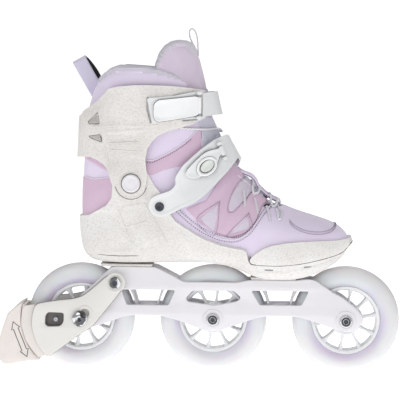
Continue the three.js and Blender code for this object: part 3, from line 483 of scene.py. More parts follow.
def tube(name, path, radius, paint, body, sides=10, closed=False, flat=1.0, count=None):
    # a ring carried along a smooth path on axes that turn as little as possible; ends close on a point
    line = smoothPath(path, count or max(12, 6 * len(path)), closed)
    ahead = np.roll(line, -1, 0) - np.roll(line, 1, 0)
    if not closed:
        ahead[0], ahead[-1] = line[1] - line[0], line[-1] - line[-2]
    ahead /= np.linalg.norm(ahead, axis=1, keepdims=True)
    side = np.cross(ahead, np.array([0.31, 0.87, 0.38]))
    side /= np.linalg.norm(side, axis=1, keepdims=True)
    lift = np.cross(side, ahead)
    angle = np.linspace(0, 2 * pi, sides, endpoint=False)
    sizes = np.full(len(line), radius) if np.isscalar(radius) else np.asarray(radius)
    rings = line[:, None] + sizes[:, None, None] * (side[:, None] * np.cos(angle)[None, :, None]
        + flat * lift[:, None] * np.sin(angle)[None, :, None])
    points = rings.reshape(-1, 3)
    faces = gridFaces(len(line), sides, closed, True)
    steps = np.concatenate([[0], np.cumsum(np.linalg.norm(np.diff(line, axis=0), axis=1))])
    cloth = np.stack([np.tile(angle * sizes.mean(), len(line)), np.repeat(steps, sides)], 1)
    faces = outwardFaces(points, faces).tolist()
    if not closed:
        first, last = len(points), len(points) + 1
        points = np.vstack([points, line[0] - ahead[0] * sizes[0] * 0.5,
                            line[-1] + ahead[-1] * sizes[-1] * 0.5])
        cloth = np.vstack([cloth, cloth[0], cloth[-1]])
        j = np.arange(sides)
        k = (j + 1) % sides
        base = (len(line) - 1) * sides
        caps = np.vstack([np.stack([k, j, np.full(sides, first)], 1),
                          np.stack([base + j, base + k, np.full(sides, last)], 1)])
        test = outwardFaces(points, np.array(faces))
        forward = np.array_equal(test, gridFaces(len(line), sides, False, True))
        faces = faces + (caps if not forward else caps[:, ::-1]).tolist()
    return makePiece(name, points, faces, paint, body, cloth=cloth)


def lathe(name, profile, x, z, paints, body, slotName, sides=64, which=None, sharp=32.0, facts=False):
    # radius and depth pairs turned about the axle's line; a ring, or closed where the radius is 0
    ring = np.asarray(profile, float)
    angle = np.linspace(0, 2 * pi, sides, endpoint=False)
    r, y = ring[:, 0][:, None], ring[:, 1][:, None]
    grid = np.stack([x + r * np.cos(angle), y + 0 * angle, z + r * np.sin(angle)], -1)
    points = grid.reshape(-1, 3)
    faces = outwardFaces(points, gridFaces(len(ring), sides, True, True))
    extra = {"radial": np.repeat(ring[:, 0], sides) / 1000.0, "turn": np.tile(np.abs(np.sin(angle * 1.5)),
        len(ring))} if facts else None
    cloth = np.stack([np.tile(angle * 20, len(ring)), np.repeat(np.cumsum(np.ones(len(ring))), sides)], 1)
    index = None if which is None else np.repeat(np.asarray(which), sides)
    return makePiece(name, points, faces, paints, body, which=index, cloth=cloth, facts=extra,
                     sharp=sharp)


def plate(name, outlines, low, high, bevel, paint, body):
    # side-view outlines, the first solid and the rest holes, given a rounded thickness along Y
    curve = bpy.data.curves.new(name, "CURVE")
    curve.dimensions = "2D"
    curve.fill_mode = "BOTH"
    curve.extrude = (high - low) / 2 - bevel
    curve.bevel_depth = bevel
    curve.bevel_resolution = 2
    curve.offset = -bevel
    for outline in outlines:
        spline = curve.splines.new("POLY")
        spline.points.add(len(outline) - 1)
        flat = np.zeros((len(outline), 4))
        flat[:, :2] = outline
        flat[:, 3] = 1
        spline.points.foreach_set("co", flat.ravel())
        spline.use_cyclic_u = True
    holder = bpy.data.objects.new(name + "Flat", curve)
    bpy.context.scene.collection.objects.link(holder)
    depsgraph = bpy.context.evaluated_depsgraph_get()
    rough = bpy.data.meshes.new_from_object(holder.evaluated_get(depsgraph))
    bpy.data.objects.remove(holder)
    flat = np.zeros(len(rough.vertices) * 3)
    rough.vertices.foreach_get("co", flat)
    flat = flat.reshape(-1, 3)
    points = np.stack([flat[:, 0], (low + high) / 2 - flat[:, 2], flat[:, 1]], 1)
    faces = [list(polygon.vertices) for polygon in rough.polygons]
    bpy.data.meshes.remove(rough)
    thing = makePiece(name, points, faces, paint, body, sharp=30.0)
    form = bmesh.new()
    form.from_mesh(thing.data)
    bmesh.ops.remove_doubles(form, verts=form.verts, dist=2e-6)
    bmesh.ops.recalc_face_normals(form, faces=form.faces)
    form.to_mesh(thing.data)
    form.free()
    thing.data.shade_smooth()
    thing.data.set_sharp_from_angle(angle=math.radians(30.0))
    return thing


# wheels
wheel = {"spokes": 10, "firstSpoke": 9.0, "spacing": 136.0, "axleHeight": 55.0}
rearX, axleZ = -wheel["spacing"], wheel["axleHeight"]
wheelSpots = {"rear": -wheel["spacing"], "middle": 0.0, "front": wheel["spacing"]}
halfTyre = [(35.2, 8.8), (36.4, 9.6), (38.2, 10.9), (40.6, 11.7), (43.0, 11.95), (45.6, 11.7), (48.2, 10.9),
            (50.4, 9.6),
            (52.2, 7.9), (53.6, 5.8), (54.5, 3.6), (54.9, 1.6)]
halfRim = [(31.6, 8.6), (31.8, 9.5), (32.6, 9.9), (34.2, 9.9), (35.0, 9.3)]
for spot, x in wheelSpots.items():
    body = spot + "_wheel"
    z = wheel["axleHeight"]
    ring = halfTyre + [(55.0, 0.0)] + [(r, -y) for r, y in halfTyre[::-1]]
    tyre = lathe(spot + "Tyre", ring, x, z, wheelPaint, body, "tyre", 144, facts=True)
    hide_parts(spot + "_tyre")
    rimRing = halfRim + [(r, -y) for r, y in halfRim[::-1]] + [(31.6, -2.0), (30.2, -1.2), (30.2, 1.2),
        (31.6, 2.0)]
    rim = lathe(spot + "Rim", rimRing, x, z, hubPaint, body, "wheel_core", 96)
    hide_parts(spot + "_hub")
    seat = [(11.05, 11.4), (12.2, 11.9), (13.9, 11.9), (15.0, 11.0), (15.8, 7.4), (15.8, -7.4), (15.0, -11.0),
            (13.9, -11.9),
            (12.2, -11.9), (11.05, -11.4)]
    lathe(spot + "HubSeat", seat, x, z, hubPaint, body, "wheel_core", 72)
    # a spoke is a rounded box whose width narrows then flares towards the rim: width = 2.3 + 2.2 flare
    reach = np.linspace(0, 1, 9)
    radius = 14.6 + (32.0 - 14.6) * reach
    width = 1.05 + 1.6 * (2 * reach - 0.85) ** 2
    depth = 8.6 - 1.0 * np.sin(pi * reach)
    loopA = np.linspace(0, 2 * pi, 12, endpoint=False)
    crossW = np.sign(np.cos(loopA)) * np.abs(np.cos(loopA)) ** 0.5
    crossD = np.sign(np.sin(loopA)) * np.abs(np.sin(loopA)) ** 0.35
    allPoints, allFaces = [], []
    local = np.stack([np.repeat(radius, 12), (depth[:, None] * crossD).ravel(),
                      (width[:, None] * crossW).ravel()], 1)
    side = gridFaces(9, 12, False, True)
    side = side if outwardFaces(local, side)[0][0] == side[0][0] else side[:, ::-1]
    for k in range(wheel["spokes"]):
        turn = math.radians(wheel["firstSpoke"] + 360.0 * k / wheel["spokes"])
        px = x + local[:, 0] * math.cos(turn) - local[:, 2] * math.sin(turn)
        pz = z + local[:, 0] * math.sin(turn) + local[:, 2] * math.cos(turn)
        allFaces += (side + len(local) * k).tolist() + [list(range(len(local) * k, len(local) * k + 12))]
        allFaces += [list(range(len(local) * (k + 1) - 1, len(local) * (k + 1) - 13, -1))]
        allPoints.append(np.stack([px, local[:, 1], pz], 1))
    makePiece(spot + "Spokes", np.vstack(allPoints), allFaces, hubPaint, body)
    for name, sign in (("outer", -1), ("inner", 1)):
        # outer race, sunk shield with two grooves, inner race
        face = [(11.0, 5.2), (11.0, 11.7), (10.6, 12.0), (9.6, 12.0), (9.3, 11.5), (8.9, 11.1), (8.0, 11.2),
                (7.6, 10.9),
                (6.9, 11.3), (6.5, 11.2), (6.2, 11.8), (5.8, 12.0), (4.4, 12.0), (4.1, 11.7), (4.1, 5.2)]
        race = lathe(spot + name.capitalize() + "Bearing", [(r, sign * y) for r, y in face], x, z, steelPaint,
                     body, "steel", 56)
        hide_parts(f"{spot}_bearing_{name}")
    nodes[spot + "_spacer"].data.materials.clear()
    nodes[spot + "_spacer"].data.materials.append(steelPaint)
print("wheels made")


# frame: two bevelled walls with windows, cross walls that follow the wheels
frameFacts = {"inner": 13.2, "outer": 18.2, "bevel": 1.1, "corner": 4.0}
wallOutline = [
    (-123, 89.6), (-109.6, 102.7), (-103.3, 108), (-60.8, 108), (-56.8, 106.8), (-30.2, 93), (25.2, 93),
    (34, 95.4), (39.6, 96),
    (84, 96), (93.3, 97.4), (102.5, 97.4), (110.8, 92.2), (122.9, 83.9), (131.8, 79.7), (146.7, 67.8),
    (153.6, 59.4),
    (153.2, 53.6), (147.8, 47.6), (139.9, 43.4), (129.1, 44.9), (107.3, 52.8), (85.6, 59), (56, 59),
    (43.6, 56.9), (29.8, 51.5),
    (17.2, 47.2), (9.7, 43.8), (0.3, 42.4), (-9.3, 43.8), (-18.8, 46.9), (-29.4, 51.1), (-42.2, 55.3),
    (-53.6, 58.2),
    (-80.7, 58), (-88.8, 57.4), (-101.5, 52.7), (-120, 46), (-136, 42.5), (-145, 46), (-148.5, 55), (-145, 66),
    (-136, 78)]
windowOutlines = [
    [(-94.1, 84.3), (-39, 84.5), (-45.7, 69), (-88.4, 68.8)],
    [(-20.9, 84.2), (21.4, 84.4), (28.7, 77.6), (24.5, 73.8), (1.3, 69.2), (-26.2, 73), (-27.8, 76.6)],
    [(39.3, 85), (97.8, 85), (90.3, 70.5), (48, 70.2)]]
roundWindows = [roundCorners(w, 2.2) for w in windowOutlines]
for name, sign in (("Outer", -1), ("Inner", 1)):
    low, high = sorted((sign * frameFacts["inner"], sign * frameFacts["outer"]))
    plate("frameWall" + name, [roundCorners(wallOutline, frameFacts["corner"])] + roundWindows,
                       low, high,
                       frameFacts["bevel"], framePaint, "chassis")
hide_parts("frame")


def wheelArc(x, fromZ, toZ, sign, radius=58.0, count=14):
    z = np.linspace(fromZ, toZ, count)
    return np.stack([x + sign * np.sqrt(radius ** 2 - (z - axleZ) ** 2), z], 1)


webRear = np.vstack([wheelArc(-136, 59, 101, 1), [(-103.3, 107.4), (-60.8, 107.4), (-34, 94.2)],
                     wheelArc(0, 90.5, 59, -1),
                     [(-61, 59), (-53.5, 84), (-47.5, 96.5), (-60, 103.2), (-91, 103.2), (-92, 101),
                      (-82.3, 84), (-75, 59)]])
webFront = np.vstack([wheelArc(0, 59, 91, 1), [(39.6, 95.6), (93, 95.6)], wheelArc(136, 94, 59, -1),
                      [(75, 59), (82.3, 84), (87, 91.2), (49, 91.2), (53.7, 84), (61, 59)]])
# the cross walls are painted darker than the frame walls: painted shade
plate("frameWebRear", [webRear], -13.4, 13.4, 0.25, webShadePaint, "chassis")
plate("frameWebFront", [webFront], -13.4, 13.4, 0.25, webShadePaint, "chassis")
for spot, x in wheelSpots.items():
    face = 18.2 if spot == "rear" else 19.4
    for name, sign in (("Outer", -1), ("Inner", 1)):
        # a raised collar round the axle with a softly rolled edge
        ring = [(4.2, 12.4), (7.2, 12.4), (7.2, 14.0), (10.4, 14.0), (10.8, face - 0.9), (10.1, face - 0.1),
                (9.2, face), (7.0, face), (6.6, face - 0.5), (4.2, face - 0.5)]
        lathe(f"{spot}Boss{name}", [(r, sign * y) for r, y in ring], x, axleZ, framePaint, "chassis",
              "frame_paint", 48)


def socketBolt(name, x, z, seat, headRadius, headDepth, paint, body, slotName, replaced, domed=False,
               hexRadius=2.6):
    # a turned head with a rolled rim; a six-sided socket is sunk in its middle, its floor in the dark bolt
    # paint as painted shade
    sign = math.copysign(1, seat)
    y = abs(seat)
    top = y + headDepth
    if domed:
        arc = np.linspace(0, pi / 2, 9)
        dome = [(hexRadius + 0.4 + (headRadius - hexRadius - 0.4) * math.cos(a),
                 y + 1.0 + (headDepth - 1.0) * math.sin(a)) for a in arc]
        ring = [(3.9, y - 14), (3.9, y), (headRadius, y)] + dome + [(hexRadius, top - 0.2),
            (hexRadius, top - 2.2), (0.01, top - 2.4), (0.01, y - 14)]
    else:
        ring = [(3.9, y - 14), (3.9, y), (headRadius, y), (headRadius, top - 0.8), (headRadius - 0.8, top),
                (hexRadius + 1.0, top),
                (hexRadius + 0.3, top - 0.5), (hexRadius, top - 0.6), (hexRadius, top - 2.0), (0.01, top - 2.2),
                (0.01, y - 14)]
    thing = lathe(name, [(r, sign * d) for r, d in ring], x, z, [paint, boltPaint], body, slotName, 48,
                  which=[0] * (len(ring) - 4) + [1, 1, 1, 0])
    six = np.linspace(0, 2 * pi, 6, endpoint=False) + 0.3
    hexOutline = np.stack([x + (hexRadius + 0.25) * np.cos(six), z + (hexRadius + 0.25) * np.sin(six)], 1)
    circle = np.linspace(0, 2 * pi, 36, endpoint=False)
    outline = np.stack([x + (hexRadius + 0.9) * np.cos(circle), z + (hexRadius + 0.9) * np.sin(circle)], 1)
    low, high = sorted((sign * (top - 1.4), sign * (top - 0.35)))
    plate(name + "Socket", [outline, hexOutline], low, high, 0.12, paint, body)
    if replaced:
        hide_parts(replaced)
    return thing


for spot, x in wheelSpots.items():
    if spot == "rear":
        continue
    socketBolt(spot + "AxleOuter", x, axleZ, -19.5, 6.0, 3.0, chromePaint, "chassis", "steel", spot + "_axle")
    socketBolt(spot + "AxleInner", x, axleZ, 19.5, 5.8, 2.6, boltPaint, "chassis", "steel", None)
socketBolt("rearAxleOuter", rearX, axleZ, -26.1, 8.2, 4.9, mirrorPaint, "chassis", "steel", "rear_axle", True,
           1.8)
socketBolt("rearAxleInner", rearX, axleZ, 26.1, 7.8, 4.2, mirrorPaint, "chassis", "steel", None, True, 1.8)
for bolt in ("rear_mount_bolt", "front_mount_bolt"):
    nodes[bolt].data.materials.clear()
    nodes[bolt].data.materials.append(steelPaint)
print("frame made")


# heel brake
brake = {"plateIn": 21.8, "plateOut": 25.6, "padHalf": 21.2, "bevel": 0.9}
plateOutline = [
    (-94, 98.4), (-100.5, 101.6), (-108.5, 98.8), (-122.6, 86.2), (-132.8, 77.9), (-142.8, 74.8),
    (-161.8, 72.7), (-181.7, 69.1),
    (-185, 58), (-185.6, 46), (-182, 32.5), (-176.6, 22.6), (-170.1, 14.5), (-165.2, 16.6), (-152.1, 26.7),
    (-137.1, 37.8),
    (-126, 44.9), (-122.1, 48), (-112, 61), (-102.1, 73.1), (-93.1, 85.1), (-89.6, 91.6)]
slotOutline = [(-171.4, 48.4), (-168.6, 46.4), (-156.4, 46.8), (-152.8, 51), (-152.6, 60.2), (-168.6, 60.6),
               (-171, 57)]
turn = np.linspace(0, 2 * pi, 28, endpoint=False)
spareHole = np.stack([-130.6 + 4.1 * np.cos(turn), 60.4 + 4.1 * np.sin(turn)], 1)
for name, sign in (("outer", -1), ("inner", 1)):
    low, high = sorted((sign * brake["plateIn"], sign * brake["plateOut"]))
    thing = plate("brakePlate" + name.capitalize(), [roundCorners(plateOutline, 6.0),
        roundCorners(slotOutline, 2.4), spareHole],
                  low, high, brake["bevel"], platePaint, "chassis")
    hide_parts("brake_plate_" + name)
    rings = {"Front": (-99.8, 92.4, 10.2, 6.6), "Spare": (-130.6, 60.4, 8.2, 4.4)}
    for key, (x, z, wide, narrow) in rings.items():
        ring = [(narrow, 23.0), (wide, 23.0), (wide, 25.9), (wide - 0.8, 26.4), (wide - 1.8, 26.0),
                (narrow + 0.6, 26.0), (narrow, 25.4)]
        lathe(f"brakeRing{key}{name.capitalize()}", [(r, sign * y) for r, y in ring], x, z, platePaint,
              "chassis", "brake_plate", 48)
    foot = [(3.2, 18.4), (7.8, 18.4), (7.8, 22.4), (3.2, 22.4)]
    lathe(f"brakeFoot{name.capitalize()}", [(r, sign * y) for r, y in foot], -99.8, 92.4, platePaint, "chassis",
          "brake_plate", 32)
    socketBolt(f"brakeFrontBolt{name.capitalize()}", -99.8, 92.4, sign * 26.1, 5.9, 2.7, mirrorPaint, "chassis",
               "steel", "brake_front_bolt_" + name)
    # the height lock: a shouldered pin with a stepped barrel seen in the slot
    barrel = [(0.007, 16.5), (2.1, 16.5), (2.1, 21.6), (2.45, 21.8), (2.45, 24.2), (2.17, 24.9), (0.98, 24.9),
              (0.84, 24.0), (0.007, 24.0)]
    lock = lathe(f"brakeLock{name.capitalize()}", [(r, sign * y) for r, y in barrel], -160.6, 53.6, steelPaint,
                 "brake_group", "dark_bolt", 32)
    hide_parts("brake_lock_bolt_" + name)

padCurve = np.array([(-215.5, 5.6), (-209.4, 5.2), (-189.4, 9.2), (-173, 12.7)])
arcAngles = np.radians(np.linspace(-133.6, -194.2, 16))
padInner = np.stack([rearX + 61.4 * np.cos(arcAngles), axleZ + 61.4 * np.sin(arcAngles)], 1)
padBack = [(-199.6, 68.1), (-202.4, 66.3), (-211.1, 58.3), (-215.1, 47.6), (-218.6, 36.2), (-221.3, 26.1),
           (-221.4, 18.7), (-219.5, 10)]
padOutline = np.vstack([padBack, padCurve[:3], padInner])
pad = plate("brakePad", [padOutline], -brake["padHalf"], brake["padHalf"], 1.8, padPaint, "brake_group")
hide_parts("brake_pad")
holderOutline = [(-183, 68.0), (-194.5, 66.8), (-196.6, 58), (-196.9, 46), (-192, 30), (-182, 16.5), (-176, 13),
                 (-168, 19), (-150, 31),
                 (-140, 44), (-126, 46), (-124.6, 55), (-126, 64), (-136, 68), (-150, 69)]
for name, sign in (("Outer", -1), ("Inner", 1)):
    low, high = sorted((sign * 18.6, sign * 21.3))
    arm = plate("brakeHolder" + name, [roundCorners(holderOutline, 4.0)], low, high, 0.5, holderPaint,
                "brake_group")
    if sign < 0:
        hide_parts("brake_pad_holder")
stripAngles = np.radians(np.linspace(-136, -192, 18))
strip = np.vstack([np.stack([rearX + 58.2 * np.cos(stripAngles), axleZ + 58.2 * np.sin(stripAngles)], 1),
                   np.stack([rearX + 61.0 * np.cos(stripAngles[::-1]),
                             axleZ + 61.0 * np.sin(stripAngles[::-1])], 1)])
plate("brakeHolderBridge", [strip], -18.7, 18.7, 0.4, holderPaint, "brake_group")

# a plain outlined two-headed arrow moulded into the pad: shaft, notches and two heads
arrowAxis = np.array([(-205.4, 50.4), (-190.6, 13.4)])
ahead = (arrowAxis[1] - arrowAxis[0]) / np.linalg.norm(arrowAxis[1] - arrowAxis[0])
beside = np.array([-ahead[1], ahead[0]])
length = np.linalg.norm(arrowAxis[1] - arrowAxis[0])


def arrowOutline(grow):
    half = [(-grow * 1.6, 0), (8.2 + grow * 0.4, 5.0 + grow * 1.5), (8.2 + grow * 0.4, 2.9 + grow),
            (length - 8.2 - grow * 0.4, 2.9 + grow),
            (length - 8.2 - grow * 0.4, 5.0 + grow * 1.5), (length + grow * 1.6, 0)]
    full = half + [(u, -v) for u, v in half[-2:0:-1]]
    return np.array([arrowAxis[0] + ahead * u + beside * v for u, v in full])


for name, sign in (("Outer", -1), ("Inner", 1)):
    low, high = sorted((sign * 20.6, sign * 21.38))
    plate("brakeArrow" + name, [arrowOutline(0.0), arrowOutline(-0.75)], low, high, 0.05, boltPaint,
          "brake_group")
print("brake made")

# boot surface: sections run from a near point on the instep to a far point on the sole or heel
boot = {"heel": 34.5, "ankle": 37.5, "pivot": (-82.4, 195.5), "halfGirth": 130.0, "easing": 30.0}
sectionRows = np.array([
    (139.6, 136.4, 139.3, 135.6, 0.9, 0.9), (137.6, 139, 137, 133, 0.8, 0.8),
    (134.6, 145.4, 134.6, 128, 0.75, 0.6),
    (128, 151.5, 128, 121.5, 0.7, 0.5), (118, 156.6, 118, 114.5, 0.7, 0.42), (104, 161, 104, 107.8, 0.72, 0.4),
    (89, 165.6, 89, 103, 0.75, 0.4), (74, 170.8, 74, 101.4, 0.78, 0.4), (60, 178.8, 48, 101.6, 0.8, 0.4),
    (42, 191.2, 20, 114, 0.82, 0.42), (29, 204.4, -20, 117.6, 0.84, 0.42),
    (22.4, 215.4, -60, 115.4, 0.85, 0.42),
    (18.2, 221.6, -95, 114.2, 0.86, 0.42), (15.8, 226.2, -121, 115.6, 0.86, 0.5),
    (14, 229.6, -132, 125, 0.86, 0.6),
    (11, 234, -135.2, 150, 0.86, 0.62), (7.6, 240.6, -135.6, 180, 0.86, 0.6),
    (4.4, 247.4, -134, 210, 0.86, 0.6),
    (1, 254.8, -132, 237, 0.86, 0.62), (-3.4, 263.6, -131.5, 262, 0.84, 0.66),
    (-7, 280, -126.6, 280, 0.82, 0.7),
    (-11.4, 300, -119, 300, 0.82, 0.72), (-16, 318, -112.6, 318, 0.82, 0.74),
    (-24, 342, -106, 342, 0.82, 0.76)])
footWidths = np.array([(-136, .95), (-110, 1), (-60, 1.02), (-10, 1.1), (40, 1.28), (70, 1.348), (98, 1.27),
                       (113, 1.12),
                       (124, .9), (132, .66), (136, .44), (138.4, .28)])
shaftWidths = np.array([(150, 1), (195, 1), (240, 1.12), (290, 1.24), (345, 1.26)])
lastRow = len(sectionRows) - 1.0


def eased(values, reach):
    # weighted running mean that keeps straight ends straight
    pad = int(3 * reach)
    kernel = np.exp(-0.5 * (np.arange(-pad, pad + 1) / reach) ** 2)
    longer = np.concatenate([2 * values[0] - values[pad:0:-1], values, 2 * values[-1] - values[-2:-pad - 2:-1]])
    return np.convolve(longer, kernel / kernel.sum(), "valid")


fineS = np.linspace(0, lastRow, 2301)
sectionFine = [eased(np.interp(fineS, np.arange(lastRow + 1), column), boot["easing"])
               for column in sectionRows.T]
fineX = np.linspace(-150, 150, 1201)
footFine = eased(np.interp(fineX, *footWidths.T), 12)
fineZ = np.linspace(90, 360, 1081)
shaftFine = eased(np.interp(fineZ, *shaftWidths.T), 24)


def halfWidth(x, z):
    share = np.clip((z - 148) / 44, 0, 1)
    share = share * share * (3 - 2 * share)
    foot = boot["heel"] * np.interp(x, fineX, footFine)
    return foot + (boot["ankle"] * np.interp(z, fineZ, shaftFine) - foot) * share


def bootAngle(s, angle, side, t):
    # a squared-off oval round the line from near to far, grown by t along its length and width
    nx, nz, fx, fz, near, far = (np.interp(s, fineS, column) for column in sectionFine)
    span = np.hypot(fx - nx, fz - nz)
    ux, uz = (fx - nx) / span, (fz - nz) / span
    c = -np.cos(angle)
    square = near + (far - near) * (0.5 + 0.5 * c)
    tip = np.sqrt(np.clip(1 - (1 - np.clip(s, 0, 1)) ** 2, 0, 1))
    half = (span / 2 + t * np.clip(s, 0.0, 1)) * np.where(s < 1, np.maximum(tip, 1e-4), 1)
    v = span / 2 + half * np.sign(c) * np.abs(c) ** (0.75 + 0.25 * square)
    x = nx + ux * v + np.clip(1.6 - s, 0, 1) * t * 0.8
    z = nz + uz * v
    y = side * (halfWidth(nx + ux * v, z) + t) * np.abs(np.sin(angle)) ** square * np.where(s < 1, tip, 1)
    return np.stack([x, y, z], -1)


# angles at even girth steps, worked out once for a table of rows
girthRows, girthSteps = 231, 161
rowS = np.linspace(0.02, lastRow, girthRows)
sample = np.linspace(0, 1, 601)
sampleAngle = pi * (sample - np.sin(2 * pi * sample) / (2 * pi))
curves = bootAngle(rowS[:, None], sampleAngle[None, :], 1, 0.0)
girth = np.concatenate([np.zeros((girthRows, 1)), np.cumsum(np.linalg.norm(np.diff(curves, axis=1), axis=2),
    axis=1)], 1)
angleTable = np.stack([np.interp(np.linspace(0, 1, girthSteps), g / g[-1], sampleAngle) for g in girth])


def bootAt(s, q, t):
    # q is 0 on the sole and heel line, 1 or -1 on the instep line; negative is the outer side
    q = (q + 1) % 2 - 1
    w = (1 - np.abs(q)) * (girthSteps - 1)
    r = np.clip((s - 0.02) / (lastRow - 0.02), 0, 1) * (girthRows - 1)
    i, j = np.minimum(r.astype(int), girthRows - 2), np.minimum(w.astype(int), girthSteps - 2)
    a, b = r - i, w - j
    angle = ((1 - a) * ((1 - b) * angleTable[i, j] + b * angleTable[i, j + 1])
             + a * ((1 - b) * angleTable[i + 1, j] + b * angleTable[i + 1, j + 1]))
    return bootAngle(s, angle, np.where(q < 0, -1.0, 1.0), t)


alongFar = np.concatenate([[0], np.cumsum(np.maximum(np.hypot(np.diff(sectionFine[0]), np.diff(sectionFine[1])),
                                                     np.hypot(np.diff(sectionFine[2]),
    np.diff(sectionFine[3]))))])


def outlineGap(x, z, outline):
    # distance to a closed side-view outline, negative inside it
    p = np.asarray(outline, float)
    best = np.full(x.shape, 1e9)
    inside = np.zeros(x.shape, bool)
    for (ax, az), (bx, bz) in zip(p, np.roll(p, -1, 0)):
        dx, dz = bx - ax, bz - az
        k = np.clip(((x - ax) * dx + (z - az) * dz) / (dx * dx + dz * dz), 0, 1)
        best = np.minimum(best, (x - ax - k * dx) ** 2 + (z - az - k * dz) ** 2)
        if dz != 0:
            inside ^= ((az > z) != (bz > z)) & (x < dx * (z - az) / dz + ax)
    return np.sqrt(best) * np.where(inside, -1, 1)


def lineGap(x, z, line):
    best = np.full(np.shape(x), 1e9)
    for (ax, az), (bx, bz) in zip(line[:-1], line[1:]):
        dx, dz = bx - ax, bz - az
        k = np.clip(((x - ax) * dx + (z - az) * dz) / (dx * dx + dz * dz), 0, 1)
        best = np.minimum(best, (x - ax - k * dx) ** 2 + (z - az - k * dz) ** 2)
    return np.sqrt(best)


def step(value, low, high):
    k = np.clip((value - low) / (high - low), 0, 1)
    return k * k * (3 - 2 * k)


def bootPatch(name, region, inner, outer, paints, body, sRange=(0, lastRow), qRange=(-1, 1), cell=1.8,
              relief=None,
              roll=0.0, choose=None, lining=None):
    # a closed skin over part of the boot: grid cells inside the region, corners slid onto its edge
    far = np.interp(sRange, fineS, alongFar)
    rows = max(4, int((far[1] - far[0]) / cell) + 1)
    sLine = np.interp(np.linspace(far[0], far[1], rows), alongFar, fineS)
    columns = max(4, int((qRange[1] - qRange[0]) * boot["halfGirth"] / cell) + 1)
    stepQ = (qRange[1] - qRange[0]) / (columns - 1)
    level = np.arange(rows)

    def field(i, j):
        s, q = np.interp(i, level, sLine), qRange[0] + stepQ * j
        p = bootAt(s, q, np.full(s.shape, outer))
        return region(p[..., 0], p[..., 1], p[..., 2], s, q)

    i, j = (g.astype(float).ravel() for g in np.meshgrid(level, np.arange(columns), indexing="ij"))
    gap = field(i, j)
    near = np.abs(gap) < 3.0 * cell
    i0, j0 = i[near].copy(), j[near].copy()
    di, dj = np.zeros(i0.shape), np.zeros(j0.shape)
    first = None
    for _ in range(6):
        ci, cj = np.clip(i0 + di, 0, rows - 1), j0 + dj
        here = field(ci, cj)
        gi = (field(np.clip(ci + 0.05, 0, rows - 1), cj) - here) / 0.05
        gj = (field(ci, cj + 0.05) - here) / 0.05
        steep = np.maximum(gi * gi + gj * gj, 1e-4)
        if first is None:
            first = np.abs(here) / np.sqrt(steep)
        di = np.clip(di - here * gi / steep * 0.9, -0.75, 0.75)
        dj = np.clip(dj - here * gj / steep * 0.9, -0.75, 0.75)
    moved = first < 0.52
    target = np.flatnonzero(near)[moved]
    i[target] = np.clip(i0 + di, 0, rows - 1)[moved]
    j[target] = (j0 + dj)[moved]
    gap = field(i, j)
    onEdge = np.zeros(gap.shape, bool)
    onEdge[target] = np.abs(gap[target]) < 0.3 * cell
    state = np.where(onEdge, 0, np.sign(gap))
    quads = gridFaces(rows, columns)
    corner = state[quads]
    middle = (i[quads].mean(1), j[quads].mean(1))
    keep = (corner <= 0).all(1) & (corner < 0).any(1)
    flat = (corner == 0).all(1)
    if flat.any():
        keep |= flat & (field(middle[0], middle[1]) < 0)
    single = ((corner > 0).sum(1) == 1) & (corner < 0).any(1)
    triangles = []
    for k in range(4):
        pick = single & (corner[:, k] > 0)
        triangles.append(quads[pick][:, [(k + 1) % 4, (k + 2) % 4, (k + 3) % 4]])
    triangles = np.vstack(triangles)
    quads = quads[keep]
    used, inverse = np.unique(np.concatenate([quads.ravel(), triangles.ravel()]), return_inverse=True)
    quads = inverse[:quads.size].reshape(-1, 4)
    triangles = inverse[quads.size:].reshape(-1, 3)
    s, q = np.interp(i[used], level, sLine), qRange[0] + stepQ * j[used]
    gap = np.minimum(gap[used], 0)
    edges = np.vstack([quads[:, [0, 1]], quads[:, [1, 2]], quads[:, [2, 3]], quads[:, [3, 0]],
                       triangles[:, [0, 1]], triangles[:, [1, 2]], triangles[:, [2, 0]]])
    code = np.sort(edges, 1)
    code = code[:, 0] * len(used) + code[:, 1]
    _, where, counts = np.unique(code, return_index=True, return_counts=True)
    border = edges[where[counts == 1]]
    gap[np.unique(border)] = 0
    base = bootAt(s, q, np.full(s.shape, outer))
    height = np.full(s.shape, outer) + (relief(base[:, 0], base[:, 1], base[:, 2]) if relief else 0)
    if roll > 0:
        k = 1 - np.clip(-gap / roll, 0, 1)
        height = height - roll * (1 - np.sqrt(1 - k * k))
    top = bootAt(s, q, height)
    depth = np.full(s.shape, inner)
    if roll > 0:
        depth = depth + min(roll, (outer - inner) / 2) * 0.5 * (1 - np.sqrt(1 - k * k))
    low = bootAt(s, q, depth)
    n = len(used)
    points = np.vstack([top, low])
    faces = quads.tolist() + triangles.tolist() + (quads[:, ::-1] + n).tolist() + (triangles[:, ::-1]
        + n).tolist()
    faces += np.stack([border[:, 1], border[:, 0], border[:, 0] + n, border[:, 1] + n], 1).tolist()
    a, b, c = (top[(quads if len(quads) else triangles)[:, k]] for k in (0, 1, 2))
    outwards = (np.cross(b - a, c - a) * (a - low[(quads if len(quads) else triangles)[:, 0]])).sum()
    if outwards < 0:
        faces = [f[::-1] for f in faces]
    which = np.zeros(len(faces), int)
    if choose is not None:
        tone = np.asarray(choose(base[:, 0], base[:, 1], base[:, 2], gap))
        faceTone = np.concatenate([np.median(tone[quads], 1) if len(quads) else [],
                                   np.median(tone[triangles], 1) if len(triangles) else []])
        which[:len(faceTone)] = faceTone
        which[-len(border):] = tone[border[:, 0]]
    if lining is not None:
        m = len(quads) + len(triangles)
        which[m:2 * m] = lining
    cloth = np.stack([np.interp(s, fineS, alongFar), q * boot["halfGirth"]], 1)
    # rim is 1 on the piece's edge and fades inwards; the plastics use it for a painted highlight
    rim = np.exp(gap / 1.1)
    return makePiece(name, points, faces, paints, body, which=which, cloth=np.vstack([cloth, cloth]),
                     facts={"rim": np.concatenate([rim, rim])})


